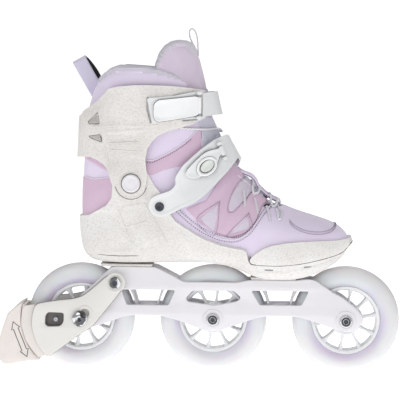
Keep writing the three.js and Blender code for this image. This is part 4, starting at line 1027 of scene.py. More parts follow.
def inOutline(outline, side=0, cut=()):
    # a region test from side-view outlines; side -1 keeps the outer half, 1 the inner half
    def region(x, y, z, s, q):
        gap = outlineGap(x, z, outline)
        for hole in cut:
            gap = np.maximum(gap, -outlineGap(x, z, hole))
        if side:
            gap = np.maximum(gap, -side * y)
        return gap
    return region


def bendWithCuff(thing):
    thing.parent = None
    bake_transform(thing)
    return thing


# hard shell: heel and side walls over the rockered sole
shell = {"inner": 0.3, "outer": 3.8}
shellTop = [(150, 138.4), (141, 136), (133, 127), (124.4, 123.5), (109.2, 119.9), (88.9, 115.7), (68.6, 113.5),
            (50.3, 113.4),
            (39, 114.1), (36.5, 117.2), (33.9, 127.4), (29.8, 129.5), (22.7, 130.4), (7.4, 133.4),
            (-6.9, 138.5), (-17.1, 143.6),
            (-27.3, 150.2), (-37.5, 156.8), (-43.6, 164.9), (-53.8, 186.9), (-58.9, 192.5), (-64, 201.7),
            (-70, 212), (-82, 216),
            (-94, 211), (-101.8, 196), (-102.9, 179.6), (-108, 172.4), (-118.3, 166.2), (-127.6, 161),
            (-160, 157)]
shellOutline = shellTop + [(-160, 60), (160, 60)]
ridges = {"heel": [(-112, 172), (-109.9, 167.9), (-102.8, 153.6), (-89.5, 138.3), (-79.3, 128.1), (-70, 121)],
          "front": [(-77.9, 201.9), (-71.9, 184.6), (-63.7, 172.4), (-48.5, 163.2), (-28.1, 152), (-8, 142),
                    (12, 136), (36, 131)]}
facets = ([(-95.2, 170.4), (-69.7, 176.6), (-55.5, 154.2), (-53.5, 140.9), (-78.0, 127.5)],
          [(-127.2, 164.9), (-97.5, 168.1), (-81.3, 127.2), (-117.2, 121.8)])
soleRib = [(-60, 119.5), (-33.5, 117.4), (1.7, 111.2), (36.9, 107.8), (71.9, 108.6), (107.0, 115.2),
           (130.2, 123.5), (142, 131)]
heelLine = [(-128, 120.5), (-118.1, 118.8), (-95.5, 121.0), (-73.9, 119.0)]


def shellRelief(x, y, z):
    lift = 0.9 * np.exp(-(lineGap(x, z, ridges["heel"]) / 2.6) ** 2) + 0.7 * np.exp(-(lineGap(x, z,
        ridges["front"]) / 2.2) ** 2)
    for facet in facets:
        lift = lift - 0.7 * step(-outlineGap(x, z, facet), -0.5, 3.5)
    lift = lift + 1.0 * step(-outlineGap(x, z, facets[0]), -0.6, 1.4) - 0.5 * step(-outlineGap(x, z, facets[1]),
        -1.0, 2.0)
    lift = lift - 0.55 * np.exp(-(lineGap(x, z, soleRib) / 0.8) ** 2)
    lift = lift + 0.7 * step(-(z - np.interp(x, *np.array(soleRib).T)), -0.4, 1.2) * (x > -60)
    lift = lift - 0.5 * np.exp(-(lineGap(x, z, heelLine) / 0.7) ** 2)
    return lift


shellPiece = bootPatch("bootShell", inOutline(shellOutline), shell["inner"], shell["outer"], shellPaint,
                       "chassis",
                       relief=shellRelief, cell=1.5)
softenEdges(shellPiece, 0.7)
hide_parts("boot_shell")
print("shell made")

# toe cap over the front of the shell
toeTop = [(37.5, 119.8), (44.1, 125.9), (52.2, 131.6), (60.4, 134.7), (73.6, 137.3), (88.8, 138.8),
          (109.1, 139.5), (124.3, 139.3),
          (135.5, 140.2), (142, 142), (160, 144)]
toeLow = [(160, 140.6), (150, 139), (141, 136.6), (133, 127.6), (124.4, 124.1), (109.2, 120.5), (88.9, 116.3),
          (68.6, 114.1),
          (50.3, 114), (39.6, 114.6), (37.2, 117.4)]
toePiece = bootPatch("toeCap", inOutline(toeTop + toeLow), 0.2, 3.5, shellPaint, "chassis",
                     sRange=(0, 12), cell=1.3)
softenEdges(toePiece, 0.6)
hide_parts("toe_cap")
print("toe cap made")

# cuff
cuff = {"inner": 4.4, "outer": 8.0, "legOut": 46.4}
cuffOutline = [(-160, 258), (-136, 262.8), (-132.5, 267.9), (-118, 277), (-111, 284.1), (-105.9, 290.2),
               (-95.8, 292.7), (-78.5, 294.3),
               (-63.3, 294.3), (-43.1, 293.8), (-22.8, 291.8), (-9, 289.3), (-8, 262), (-23, 254.6),
               (-35.1, 251.2), (-47.3, 247.7),
               (-55.5, 243.6), (-61.6, 237.5), (-66.2, 230.4), (-68.2, 220.2), (-67.7, 212.1), (-66.2, 204),
               (-67.3, 195.8),
               (-69.3, 186.6), (-74.9, 180.7), (-82.5, 178.7), (-90.2, 180.9), (-96.4, 186.5), (-100.4, 195.7),
               (-102.4, 201.8),
               (-105.5, 207.9), (-110.5, 214), (-117.7, 218.6), (-124.8, 221.1), (-160, 219.4)]
cuffPits = [[(-127.7, 256.7), (-115.8, 263.2), (-115.9, 253.5)],
            [(-126.3, 242.1), (-113.5, 243.7), (-111.5, 236.0)]]
cuffRidges = [[(-114.6, 270.9), (-111.4, 246.6), (-107.6, 235.0)], [(-111.0, 253.3), (-66, 253.6)],
              [(-107, 247.0), (-88.7, 248.3), (-69, 249.9)],
              [(-104.5, 229.5), (-104.5, 219.4)]]
cuffPanel = [(-106.9, 245.2), (-72.6, 245.6), (-73.5, 236.3), (-106.5, 236.2)]
cuffGroove = [(-104.0, 229.1), (-90.8, 228.0), (-74.5, 226.5)]
cuffPlate = [(-110, 288), (-68, 290), (-69, 257), (-108, 256.5)]


def cuffRelief(x, y, z):
    lift = 0.0 * x
    for line, tall, wide in zip(cuffRidges, (1.0, 0.6, 0.6, 0.5), (1.3, 0.9, 1.0, 0.8)):
        lift = lift + tall * np.exp(-(lineGap(x, z, line) / wide) ** 2)
    for pit in cuffPits:
        lift = lift - 2.2 * step(-outlineGap(x, z, pit), -0.3, 1.6)
    lift = lift - 0.55 * step(-outlineGap(x, z, cuffPanel), -0.4,
                              0.8) - 0.35 * step(-outlineGap(x, z, cuffPlate), -1.0, 1.0)
    lift = lift - 0.5 * np.exp(-(lineGap(x, z, cuffGroove) / 0.7) ** 2)
    # the leg below the pivot lies flat: its face is pulled to one depth inside the pivot disc
    spread = np.hypot(x - boot["pivot"][0], z - boot["pivot"][1])
    level = cuff["legOut"] - np.abs(y)
    return lift + level * (1 - step(spread, 19, 31))


# painted shade: the pits take the darker recess paint
def cuffPitShade(x, y, z, gap):
    pit = np.minimum(outlineGap(x, z, cuffPits[0]), outlineGap(x, z, cuffPits[1]))
    return np.where(pit < -1.2, 1, 0)


cuffPiece = bootPatch("cuffShell", inOutline(cuffOutline), cuff["inner"], cuff["outer"],
                      [cuffPaint, recessShadePaint], "cuff_group",
                      sRange=(12.5, lastRow), cell=1.6, relief=cuffRelief, choose=cuffPitShade)
softenEdges(cuffPiece, 0.8)
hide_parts("cuff")
for name, sign in (("outer", -1), ("inner", 1)):
    cap = [(0.01, 46.0), (9.2, 46.0), (9.2, 48.2), (8.6, 49.2), (7.6, 49.6), (6.6, 49.2), (5.6, 49.0),
           (3.0, 49.25), (0.01, 49.35)]
    rivet = lathe("cuffPivot" + name.capitalize(), [(r, sign * y) for r, y in cap], *boot["pivot"], framePaint,
                  "chassis", "steel", 72)
    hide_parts("cuff_pivot_" + name)
    washer = [(9.6, 46.1), (11.2, 46.1), (11.4, 46.7), (10.9, 47.1), (9.9, 46.9)]
    lathe("cuffWasher" + name.capitalize(), [(r, sign * y) for r, y in washer], *boot["pivot"], cuffPaint,
          "cuff_group", "cuff_plastic", 72)
print("cuff made")

# soft inner boot: one padded skin from toe to collar, open for the foot and the tongue
liner = {"inner": -6.4, "outer": 0.0}
tongueBack = [(30, 176), (22, 190), (12, 204), (4, 218), (-8, 240), (-15, 260), (-22, 282), (-28, 304),
              (-48, 318)]
collarTop = [(-64, 312.6), (-77.3, 313.5), (-96, 314.6), (-106.4, 310.9), (-116.4, 303), (-121, 298.6)]
softOutline = [(-29, 300.2), (-40, 306.5), (-52, 310.8)] + collarTop + [(-170, 296), (-170, 60), (170, 60),
    (170, 174), (62, 174), (29.6, 175.8)] + [
    (x - 0.5, z - 0.2) for x, z in tongueBack[1:-1]]
collarSeam = [(-122, 292.5), (-118.5, 295.2), (-114.4, 298.2), (-108.3, 302.8), (-102.2, 305.6), (-92.0, 307.2),
              (-73.8, 306.3), (-53.5, 303.8), (-33.2, 298.8), (-20, 294.0)]
seamTop = np.array(collarSeam)


def collarHeight(x):
    return np.interp(x, seamTop[:, 0], seamTop[:, 1])


def softRelief(x, y, z):
    seam = lineGap(x, z, collarSeam)
    lift = -1.3 * np.exp(-(seam / 1.3) ** 2)
    lift = lift + 1.6 * step(z - collarHeight(x), 0.5, 5) + 1.0 * np.exp(-((z
        - 299) / 9.0) ** 2) * (z < collarHeight(x) + 1)
    return lift


def softTone(x, y, z, gap):
    return np.where((z > collarHeight(x)) & (x < -14), 1, 0)


upperPiece = bootPatch("softUpper", inOutline(softOutline), liner["inner"], liner["outer"],
                       [lilacPaint, greyKnit], None, cell=2.0,
                       relief=softRelief, roll=3.2, choose=softTone, lining=1)
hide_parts("upper", "collar")
bendWithCuff(upperPiece)
print("soft upper made")

# tongue: one skin
tongueTop = [(-18, 330), (-23.3, 335.7), (-28.5, 338.8), (-33.6, 339.3), (-40.9, 337.8), (-48.2, 333.7),
             (-54.4, 326.5), (-58.6, 316.1),
             (-60, 305), (-60, 150), (80, 150), (80, 260), (-8, 308)]
tongueOutline = [(30, 176.4), (70, 176.4), (60, 230), (20, 290), (-8, 330), (-18, 335.5), (-23.3, 337.7),
                 (-28.5, 339.6), (-33.6, 340), (-40.9, 338.4),
                 (-48.2, 334.2), (-54.4, 326.8), (-58.6, 316.1), (-59.6, 309), (-50, 306), (-38, 298),
                 (-30, 286), (-22, 268), (-15, 246), (-4, 222), (5, 205), (15, 190)]
def tongueRelief(x, y, z):
    rolled = lineGap(x, z, [(-60, 306)] + tongueTop[7:0:-1] + [(-18, 330)])
    lift = 0.9 * np.exp(-((rolled - 2.0) / 2.4) ** 2) - 0.8 * np.exp(-((rolled - 5.6) / 1.0) ** 2)
    inset = step(-outlineGap(x, z, tongueOutline), 0.5, 14)
    return lift + 0.9 * inset * step(z, 250, 300) - 0.8


def tongueTone(x, y, z, gap):
    rolled = lineGap(x, z, [(-60, 306)] + tongueTop[7:0:-1] + [(-18, 330)])
    return np.where((rolled < 5.4) & (x < -17), 1, np.where(z < 262, 2, 0))


tonguePiece = bootPatch("tongue", inOutline(tongueOutline), -6.6, 0.0, [tongueMesh, greyKnit, steelKnit], None,
                        sRange=(8.5, lastRow),
                        qRange=(0.45, 1.55), cell=1.9, relief=tongueRelief, roll=3.2, choose=tongueTone,
                        lining=1)
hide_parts("tongue_lower", "tongue_upper")
bendWithCuff(tonguePiece)
print("tongue made")

# insole
insoleTop = bootPatch("insole", inOutline([(-122, 131), (-60, 129), (-20, 131), (14, 126), (44, 117), (70, 114),
                                           (90, 115), (112, 123), (112, 90), (-122, 90)]),
                      -11.2, -7.6, greyKnit, "chassis", sRange=(3.5, 14), cell=3.0)
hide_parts("insole")
print("insole made")


# side-view places carried onto the boot, and the thin pieces laid along them
def onBoot(xz, t, side=-1):
    # the boot point at a given side-view place: nearest table point, then a few Newton steps
    xz = np.asarray(xz, float)
    s, q = np.meshgrid(np.linspace(0.5, lastRow - 0.01, 240), side * np.linspace(0.02, 0.985, 120),
                       indexing="ij")
    s, q = s.ravel(), q.ravel()
    p = bootAt(s, q, np.full(s.shape, t))
    pick = np.array([np.argmin((p[:, 0] - x) ** 2 + (p[:, 2] - z) ** 2) for x, z in xz])
    s, q = s[pick], q[pick]
    for _ in range(5):
        here = bootAt(s, q, np.full(s.shape, t))
        ds = (bootAt(s + 0.01, q, np.full(s.shape, t)) - here) / 0.01
        dq = (bootAt(s, q + 0.002, np.full(s.shape, t)) - here) / 0.002
        det = ds[:, 0] * dq[:, 2] - ds[:, 2] * dq[:, 0]
        det = np.where(np.abs(det) < 1e-3, 1e-3, det)
        ex, ez = xz[:, 0] - here[:, 0], xz[:, 1] - here[:, 2]
        s = np.clip(s + np.clip((ex * dq[:, 2] - ez * dq[:, 0]) / det, -0.3, 0.3), 0.05, lastRow - 0.01)
        q = side * np.clip(side * (q + np.clip((ds[:, 0] * ez - ds[:, 2] * ex) / det, -0.03, 0.03)), 0.005,
                           0.995)
    return bootAt(s, q, np.full(s.shape, t))


halves = {-1: (-0.999, -0.001), 1: (0.001, 0.999)}


def sideName(side):
    return "Outer" if side < 0 else "Inner"


def piping(name, line, t, radius, paint, side=-1, body="chassis", bends=False):
    dense = smoothPath(np.asarray(line, float), max(14, 5 * len(line)))
    thing = tube(name, onBoot(dense, t, side), radius, paint, None if bends else body, sides=8,
                 count=3 * len(dense))
    return bendWithCuff(thing) if bends else thing


def stitchRow(name, line, t, side, pitch=2.5, length=1.5, radius=0.4, bends=False):
    # short thread capsules laid end to end along a line: three rings and two points each
    path = onBoot(smoothPath(np.asarray(line, float), 60), t, side)
    steps = np.concatenate([[0], np.cumsum(np.linalg.norm(np.diff(path, axis=0), axis=1))])
    at = np.arange(pitch / 2, steps[-1], pitch)

    def along(k):
        return np.stack([np.interp(k, steps, path[:, c]) for c in range(3)], 1)

    middle, ahead = along(at), along(at + 0.4) - along(at - 0.4)
    ahead /= np.linalg.norm(ahead, axis=1, keepdims=True)
    across = np.cross(ahead, [0.2, 0.95, 0.2])
    across /= np.linalg.norm(across, axis=1, keepdims=True)
    lift = np.cross(across, ahead)
    angle = np.linspace(0, 2 * pi, 6, endpoint=False)
    rings = []
    for k, wide in ((-0.42, 0.6), (0.0, 1.0), (0.42, 0.6)):
        centre = middle + ahead * length * k
        rings.append(centre[:, None] + radius * wide * (across[:, None] * np.cos(angle)[None, :, None]
            + lift[:, None] * np.sin(angle)[None, :, None]))
    tips = [middle - ahead * length * 0.5, middle + ahead * length * 0.5]
    points = np.concatenate([np.concatenate(rings, 1), np.stack(tips, 1)], 1).reshape(-1, 3)
    j = np.arange(6)
    k = (j + 1) % 6
    flanks = np.concatenate([np.stack([r * 6 + j, r * 6 + k, (r + 1) * 6 + k, (r + 1) * 6 + j], 1)
                             for r in (0, 1)])
    caps = np.concatenate([np.stack([k, j, np.full(6, 18)], 1), np.stack([12 + j, 12 + k, np.full(6, 19)], 1)])
    base = (20 * np.arange(len(at)))[:, None, None]
    one = points[:20]
    good = np.array_equal(outwardFaces(one, flanks), flanks)
    flanks, caps = (flanks, caps) if good else (flanks[:, ::-1], caps[:, ::-1])
    faces = (flanks[None] + base).reshape(-1, 4).tolist() + (caps[None] + base).reshape(-1, 3).tolist()
    thing = makePiece(name, points, faces, threadPaint, None if bends else "chassis", sharp=60)
    return bendWithCuff(thing) if bends else thing


def edgeLine(name, path, radius, body, count):
    # a thin dark tube all the way round an edge: a painted shadow line
    return tube(name, path, radius, shadowLinePaint, body, sides=6, closed=True, count=count)


# stiff textile panels and overlays laid on the soft boot
panels = {"lift": 0.55, "sunk": -0.6}
pinkOutline = [(-27.6, 169.9), (-6.6, 179.2), (5.7, 199.1), (14.3, 211.5), (19.9, 214.6), (30.4, 205.3),
               (29.2, 199.8), (23.0, 191.7), (18.7, 184.3), (15.9, 174.4), (16.6, 168.8), (20.6, 168.4),
               (25.5, 173.8), (34.1, 180.6), (37.8, 186.8), (42.7, 188.1), (51.4, 181.9), (55.1, 178.9),
               (50.8, 173.9), (47.5, 166.5), (44.7, 159.6), (38.5, 151.2), (30.5, 142.8), (21.9, 140.3),
               (14.4, 141.5), (3.3, 144.8), (-14.0, 155.7)]
meshTriangles = [[(5.8, 176.4), (-14.6, 159.6), (1.5, 145.7)], [(35.4, 165.3), (15.7, 143.8), (37.9, 151.1)]]
tearOutline = [(33.4, 201.5), (26.0, 196.5), (19.9, 186.6), (16.6, 176.7), (16.4, 169.9), (20.5, 169.0),
               (27.9, 175.5), (35.3, 184.2), (41.5, 191.6), (37.7, 200.3)]
ankleLine = [(-70, 219.6), (-61.8, 218.6), (-52.6, 222.7), (-43.4, 227.3), (-35.3, 232.4), (-28.2, 237.5),
             (-23.1, 242.1), (-17.0, 248.8)]
anklePink = ankleLine + [(-12.6, 253.0), (-12.0, 228.2), (-13.0, 219), (-27.2, 213.8), (-39.4, 211.6),
                         (-50.6, 208.4), (-58.7, 204.8), (-72, 200.4)]
ankleGrey = [(-12.4, 253.6), (-8, 240.5), (3.6, 218.5), (11, 205), (2, 200), (-8, 208), (-11.8, 220),
             (-11.6, 232)]
backPink = [(-160, 224), (-124.8, 222), (-108, 219), (-96, 212), (-96, 202), (-103.2, 205.4), (-114.4, 209.4),
            (-123.6, 214.5), (-132.8, 218.6), (-160, 214)]
backLine = [(-135.0, 200.1), (-120.6, 198.5), (-102.2, 201.3)]
backLow = [(-160, 191)] + backLine + [(-95, 186), (-95, 160), (-101, 150), (-160, 146)]
toeStitch = [(77.0, 160.6), (81, 156), (86.4, 152.6), (95, 149.6), (104.0, 148.4), (112, 148.6), (119.2, 150.4),
             (123.4, 154), (125.6, 158.2)]
quarterLine = [(-37.6, 169.9), (-27.4, 160.7), (-17.2, 152.6), (-7, 146.5), (5.3, 141.4), (17.5, 139.4),
               (27.7, 141.5), (37.9, 148.7), (46, 160), (52, 168.5), (58.5, 174.4)]


def panel(name, outline, paint, side, bends, t, cut=(), sunk=panels["sunk"]):
    thing = bootPatch(name + sideName(side), inOutline(outline, side, cut), sunk, t, paint,
                      None if bends else "chassis", qRange=halves[side], cell=1.25, roll=0.5)
    return bendWithCuff(thing) if bends else thing


for side in (-1, 1):
    tag = sideName(side)
    panel("pinkOverlay", pinkOutline, pinkPaint, side, False, panels["lift"], meshTriangles)
    for k, triangle in enumerate(meshTriangles):
        panel(f"meshInset{k}", triangle, lilacMesh, side, False, t=0.22, sunk=-0.5)
    panel("eyestayTear", tearOutline, lilacMesh, side, False, t=0.5)
    panel("anklePink", anklePink, pinkPaint, side, True, t=0.5)
    panel("ankleGrey", ankleGrey, steelKnit, side, True, t=0.3)
    panel("backPink", backPink, pinkPaint, side, True, t=0.5)
    panel("backLow", backLow, pinkPaint, side, True, t=0.5)
    piping("backPipe" + tag, [(-131.5, backLine[0][1] + 0.4)] + backLine[1:], 0.7, 0.45, pipePaint, side,
           bends=True)
    piping("quarterPipe" + tag, quarterLine, 0.5, 0.55, pipePaint, side)
    piping("anklePipe" + tag, ankleLine, 0.7, 0.5, pipePaint, side, bends=True)
    inner = [(x, z + 2.6) for x, z in quarterLine]
    outer = [(x, z - 2.4) for x, z in quarterLine]
    stitchRow("quarterStitchUpper" + tag, inner, 1.0, side)
    stitchRow("quarterStitchLower" + tag, outer, 0.75, side)
    stitchRow("toeStitch" + tag, toeStitch, 0.75, side)
    stitchRow("toeStitchLower" + tag, [(x, z - 2.2) for x, z in toeStitch], 0.75, side)
    stitchRow("ankleStitch" + tag, [(x, z - 2.2) for x, z in ankleLine[:-1]], 0.95, side, bends=True)
    for k, triangle in enumerate(meshTriangles):
        loop = roundCorners(triangle, 3.0)
        thing = tube(f"insetEdge{k}{tag}", onBoot(loop, 0.55, side), 0.3, pinkPaint, "chassis",
                     sides=6, closed=True, count=70)


def shrunk(outline, k):
    # the outline drawn towards its middle; k above 1 grows it
    middle = np.mean(outline, axis=0)
    return [tuple(middle + (np.array(p) - middle) * k) for p in outline]


for side in (-1, 1):
    tag = sideName(side)
    for k, triangle in enumerate(meshTriangles):
        loop = shrunk(triangle, 1.14)
        stitchRow(f"insetStitch{k}{tag}", loop + loop[:1], 1.0, side, radius=0.3, pitch=2.0, length=1.2)
    stitchRow("tearStitch" + tag, shrunk(tearOutline, 1.1), 1.0, side, radius=0.3, pitch=2.0, length=1.2)
    stitchRow("overlayStitch" + tag, shrunk(pinkOutline, 0.96)[14:26], 1.0, side, radius=0.3, pitch=2.0,
              length=1.2)
    # dark lines along the toe cap's lower and rear edges: painted shadow
    piping("toeCapShadow" + tag, toeLow[1:], 3.2, 0.5, shadowLinePaint, side)
    piping("toeCapHeel" + tag, [(38.6, 122.5), (37.4, 119.6), (37.4, 117.2), (39.8, 114.9), (44, 114.3)], 3.3,
           0.65, shadowLinePaint, side)
    # dark strips on the sole: painted shadow in the openings
    for k, (low, high, z) in enumerate(((52.8, 61.4, 109.2), (92.0, 100.0, 112.6))):
        bootPatch(f"soleVent{k}{tag}", inOutline([(low, z - 0.7), (high, z - 0.7), (high, z + 0.8),
            (low, z + 0.8)], side), 3.0, 3.95, shadowPaint,
                  "chassis", qRange=halves[side], cell=0.6)
print("panels made")

# cuff strap: base plate, band over the tongue, hinged lever
strap = {"seat": 8.3, "base": 10.7, "wall": 2.6, "leverIn": 11.3, "leverOut": 14.3, "pin": (-14.6, -45.44)}
baseOutline = [(-66, 281.4), (-40, 284), (-19, 288.2), (-11.4, 288.2), (-11.4, 260.8), (-19, 260.8),
               (-40, 259.6), (-61, 257)]
bandOutline = [(-66, 281.4), (-40, 283.6), (-12, 286), (-3, 287.4), (30, 290), (30, 264), (6, 264.8),
               (-9, 263.6), (-40, 260), (-61, 257)]
leverOutline = roundCorners([(-59.4, 268), (-58.8, 275.6), (-55, 279.6), (-38, 281.4), (-14.6, 284.0),
                             (-14.6, 264.6), (-38, 260.4), (-55, 257.8), (-59, 261)], 4.0)


def bandRegion(x, y, z, s, q):
    gap = outlineGap(x, z, bandOutline)
    return np.maximum(gap, np.where(y < 0, -11.0 - x, -1e3))


def baseRelief(x, y, z):
    return 0.35 * step(-outlineGap(x, z, baseOutline), 3.2, 2.0)


def buckleRegion(x, y, z, s, q):
    # the base is open round the lever's barrel
    room = np.maximum(-19.6 - x, np.maximum(263.4 - z, z - 285.2))
    return np.maximum(np.maximum(outlineGap(x, z, roundCorners(baseOutline, 1.5)), y), -room)


buckleBase = bootPatch("cuffBuckleBase", buckleRegion, strap["seat"], strap["base"], strapPaint, "cuff_group",
                       qRange=halves[-1], cell=1.3, relief=baseRelief)
softenEdges(buckleBase, 0.5)
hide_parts("cuff_buckle_base")
band = bootPatch("cuffStrap", bandRegion, strap["seat"], strap["seat"] + strap["wall"], strapPaint,
                 "cuff_group",
                 qRange=(0.1, 1.9), cell=1.6, relief=lambda x, y,
                 z: 0.4 * np.clip(np.sin((x + 0.3 * z) * 2 * pi / 3.4), 0, 1) * (y > 20)
                 * step(-outlineGap(x, z, bandOutline), 4, 6))
softenEdges(band, 0.5)
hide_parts("cuff_strap")


def leverRelief(x, y, z):
    # a shallow scoop over the tip, raised rails top and bottom
    edge = -outlineGap(x, z, leverOutline)
    return -0.9 * step(edge, 1.2, 3.5) * step(-x, 44, 56) + 0.25 * step(edge, 3.0, 1.4)


lever = bootPatch("cuffLever", inOutline(leverOutline, -1), strap["leverIn"], strap["leverOut"], ringPaint,
                  "cuff_lever",
                  qRange=halves[-1], cell=1.2, relief=leverRelief)
softenEdges(lever, 0.8)
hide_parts("cuff_buckle_lever")
cuffRecesses = ([(-127.3, 256.4), (-116.4, 266.6), (-114.6, 255.4), (-125.3, 254.4)],
                [(-126.4, 242.2), (-114.1, 244.2), (-112.5, 236.7), (-123.3, 240.1)])
ribLine = [(-116.0, 269.7), (-114.0, 256.5), (-112.6, 245.3), (-110.0, 235.1), (-107.0, 224.9), (-105.0, 213.7)]
bandLines = ([(-128.7, 253.6), (-104.3, 251.6), (-75.8, 253.2), (-55.4, 254.8)],
             [(-111.5, 235.4), (-94.1, 236.4), (-75.8, 237.5)],
             [(-104.4, 229.3), (-88.0, 228.8), (-71.8, 227.9)])
for side in (-1, 1):
    # the recess floors in the darker recess paint: painted shade
    for k, outline in enumerate(cuffRecesses):
        bootPatch(f"cuffRecess{k}{sideName(side)}", inOutline(roundCorners(outline, 1.2), side), 7.4, 8.15,
                  recessShadePaint, "cuff_group",
                  qRange=halves[side], cell=0.8, roll=0.4)
        edgeLine(f"cuffRecessEdge{k}{sideName(side)}", onBoot(roundCorners(outline, 1.2), 8.1, side), 0.28,
                 "cuff_group", 60)
    piping("cuffRib" + sideName(side), ribLine, 7.9, 0.75, cuffPaint, side, body="cuff_group")
    for k, line in enumerate(bandLines):
        piping(f"cuffBand{k}{sideName(side)}", line, 7.9, 0.5, cuffPaint, side, body="cuff_group")
    arc = np.radians(np.linspace(-168, -14, 60))
    legEdge = [(boot["pivot"][0] + 16.0 * math.cos(a), side * 46.5, boot["pivot"][1] + 16.0 * math.sin(a))
               for a in arc]
    tube("cuffLegShadow" + sideName(side), legEdge, 0.3, shadowLinePaint, "cuff_group", sides=6,
         count=90)
    ringArc = np.radians(np.linspace(0, 360, 73)[:-1])
    capEdge = [(boot["pivot"][0] + 9.75 * math.cos(a), side * 47.3, boot["pivot"][1] + 9.75 * math.sin(a))
               for a in ringArc]
    edgeLine("cuffCapShadow" + sideName(side), capEdge, 0.3, "cuff_group", 90)
# a dark strip along the base plate's left edge: painted shadow in the gap
darkSlot = [(-66.6, 282.6), (-64.6, 282.8), (-65.2, 270.5), (-61.6, 256.4), (-63.2, 256.2), (-67.0, 270.5)]
bootPatch("cuffSlot", inOutline(darkSlot, -1), 8.0, 9.0, shadowPaint, "cuff_group",
          qRange=halves[-1], cell=0.8)
for k, line in enumerate(([(-40, 284.6), (-24, 287.4), (-20, 288.4), (-20, 287.2), (-40, 283.2)],
                          [(-30, 259.9), (-18, 260.9), (-14, 261.3), (-14, 259.9), (-30, 258.4)])):
    bootPatch(f"cuffShadow{k}", inOutline(line, -1), 8.1, 10.2, shadowPaint, "cuff_group",
              qRange=halves[-1], cell=0.7)
barrelLine = [(strap["pin"][0], strap["pin"][1], z) for z in (266.6, 274, 282.2)]
tube("cuffLeverBarrel", barrelLine, 2.3, ringPaint, "cuff_lever", sides=18)
pinLine = [(strap["pin"][0], strap["pin"][1], 261.4), (strap["pin"][0], strap["pin"][1], 274),
           (strap["pin"][0], strap["pin"][1], 287.6)]
pinPiece = tube("cuffLeverPin", pinLine, 1.15, steelPaint, "cuff_group", sides=14)
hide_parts("cuff_lever_pin")
for k, z in enumerate((262.1, 286.8)):
    tube(f"cuffPinEar{k}", [(strap["pin"][0], strap["pin"][1], z - 1.3), (strap["pin"][0], strap["pin"][1], z),
                            (strap["pin"][0], strap["pin"][1], z + 1.3)],
         2.6, strapPaint, "cuff_group", sides=18)
boltSpot = onBoot([(-54, 270)], strap["seat"] + strap["wall"], 1)[0]
socketBolt("cuffStrapBolt", -54, 270, float(boltSpot[1]) + 0.6, 5.0, 2.4, boltPaint, "cuff_group", "dark_bolt",
           "cuff_strap_bolt")
edgeLine("leverEdge", onBoot(leverOutline, strap["leverIn"] + 0.8, -1), 0.6, "cuff_lever", 150)
print("cuff strap made")

# instep strap: arm with its lever, ring and release button, toothed strap on the inner side
arm = {"seat": 4.2, "face": 7.4, "leverIn": 8.0, "leverOut": 11.0}
armOutline = [(-65.1, 172), (-62.6, 180.7), (-55.4, 184.3), (-43, 188.4), (-37.4, 194), (-38.1, 202.2),
              (-30, 214.4), (-12.7, 230.1), (2.5, 240.8),
              (11.6, 244.4), (19.7, 240), (26, 230.7), (24, 220.6), (14.6, 208.4), (1.5, 194.2), (-6.6, 185.5),
              (-17.8, 176.8), (-33.1, 170.1),
              (-43.2, 164.5), (-53.4, 161.4), (-61.6, 164.6)]
armRound = roundCorners(armOutline, 3.0)
instepLever = roundCorners([(6.8, 232.2), (2.6, 230.2), (-1, 229.8), (-7.6, 227.7), (-15.7, 220.6),
                            (-25.4, 210.4), (-27.2, 206.6), (-25, 202.6),
                            (-19, 201.4), (-12.6, 202.4), (0.5, 211.6), (4, 216.8), (6, 223.6), (9, 225.4)],
                            3.0)


def oval(grow, count=40, shift=0.0):
    a = np.linspace(0, 2 * pi, count, endpoint=False)
    u, v = (8 + grow) * np.cos(a) + shift, (5.4 + grow) * np.sin(a)
    return np.stack([-5.6 + u * 0.77 - v * 0.64, 213.8 + u * 0.64 + v * 0.77], 1)


def armRelief(x, y, z):
    edge = -outlineGap(x, z, armRound)
    hinge = step(x + 0.4 * z, 88, 96)
    return 0.5 * step(edge, 4.2, 2.2) - 0.5 * step(-outlineGap(x, z, instepLever), -4,
        0) + 0.4 * hinge * step(edge, 2, 5)


def armRegion(x, y, z, s, q):
    return np.maximum(outlineGap(x, z, armRound), 7 + y)


armPiece = bootPatch("instepArm", armRegion, arm["seat"], arm["face"], strapPaint, "chassis",
                     qRange=halves[-1], cell=1.3, relief=armRelief)
softenEdges(armPiece, 0.7)
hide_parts("instep_arm")


def gripRegion(x, y, z, s, q):
    return np.maximum(outlineGap(x, z, instepLever), -outlineGap(x, z, oval(0.3)))


grip = bootPatch("instepLever", gripRegion, arm["leverIn"], arm["leverOut"], strapPaint, "instep_lever_group",
                 qRange=halves[-1], cell=1.0,
                 relief=lambda x, y, z: 0.5 * step(-outlineGap(x, z, instepLever), 3.4, 1.4))
softenEdges(grip, 0.6)
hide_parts("instep_lever")
tube("instepRing", onBoot(oval(1.9, 44, -1.0), arm["leverOut"] + 0.2, -1), 1.5, ringPaint, "instep_lever_group",
     sides=14, closed=True, count=96)
button = bootPatch("releaseButton", inOutline(oval(-0.1), -1), 9.4, 11.9, buttonPaint, "release_button",
                   qRange=halves[-1], cell=0.9, roll=1.0,
                   relief=lambda x, y, z: -0.5 * step(-outlineGap(x, z, oval(0)), 1.4, 5.0))
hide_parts("instep_release_button")
darkCrescent = np.vstack([oval(0.9)[2:16], oval(0.1)[2:16][::-1]])
bootPatch("buttonShadow", inOutline(darkCrescent, -1), 10.2, 11.3, shadowPaint, "instep_lever_group",
          qRange=halves[-1], cell=0.5)
hingeEnds = np.array([(5.6, -31.543, 236.6), (12.0, -32.379, 220.6)])


def hingeAt(k):
    return hingeEnds[0] + (hingeEnds[1] - hingeEnds[0]) * k


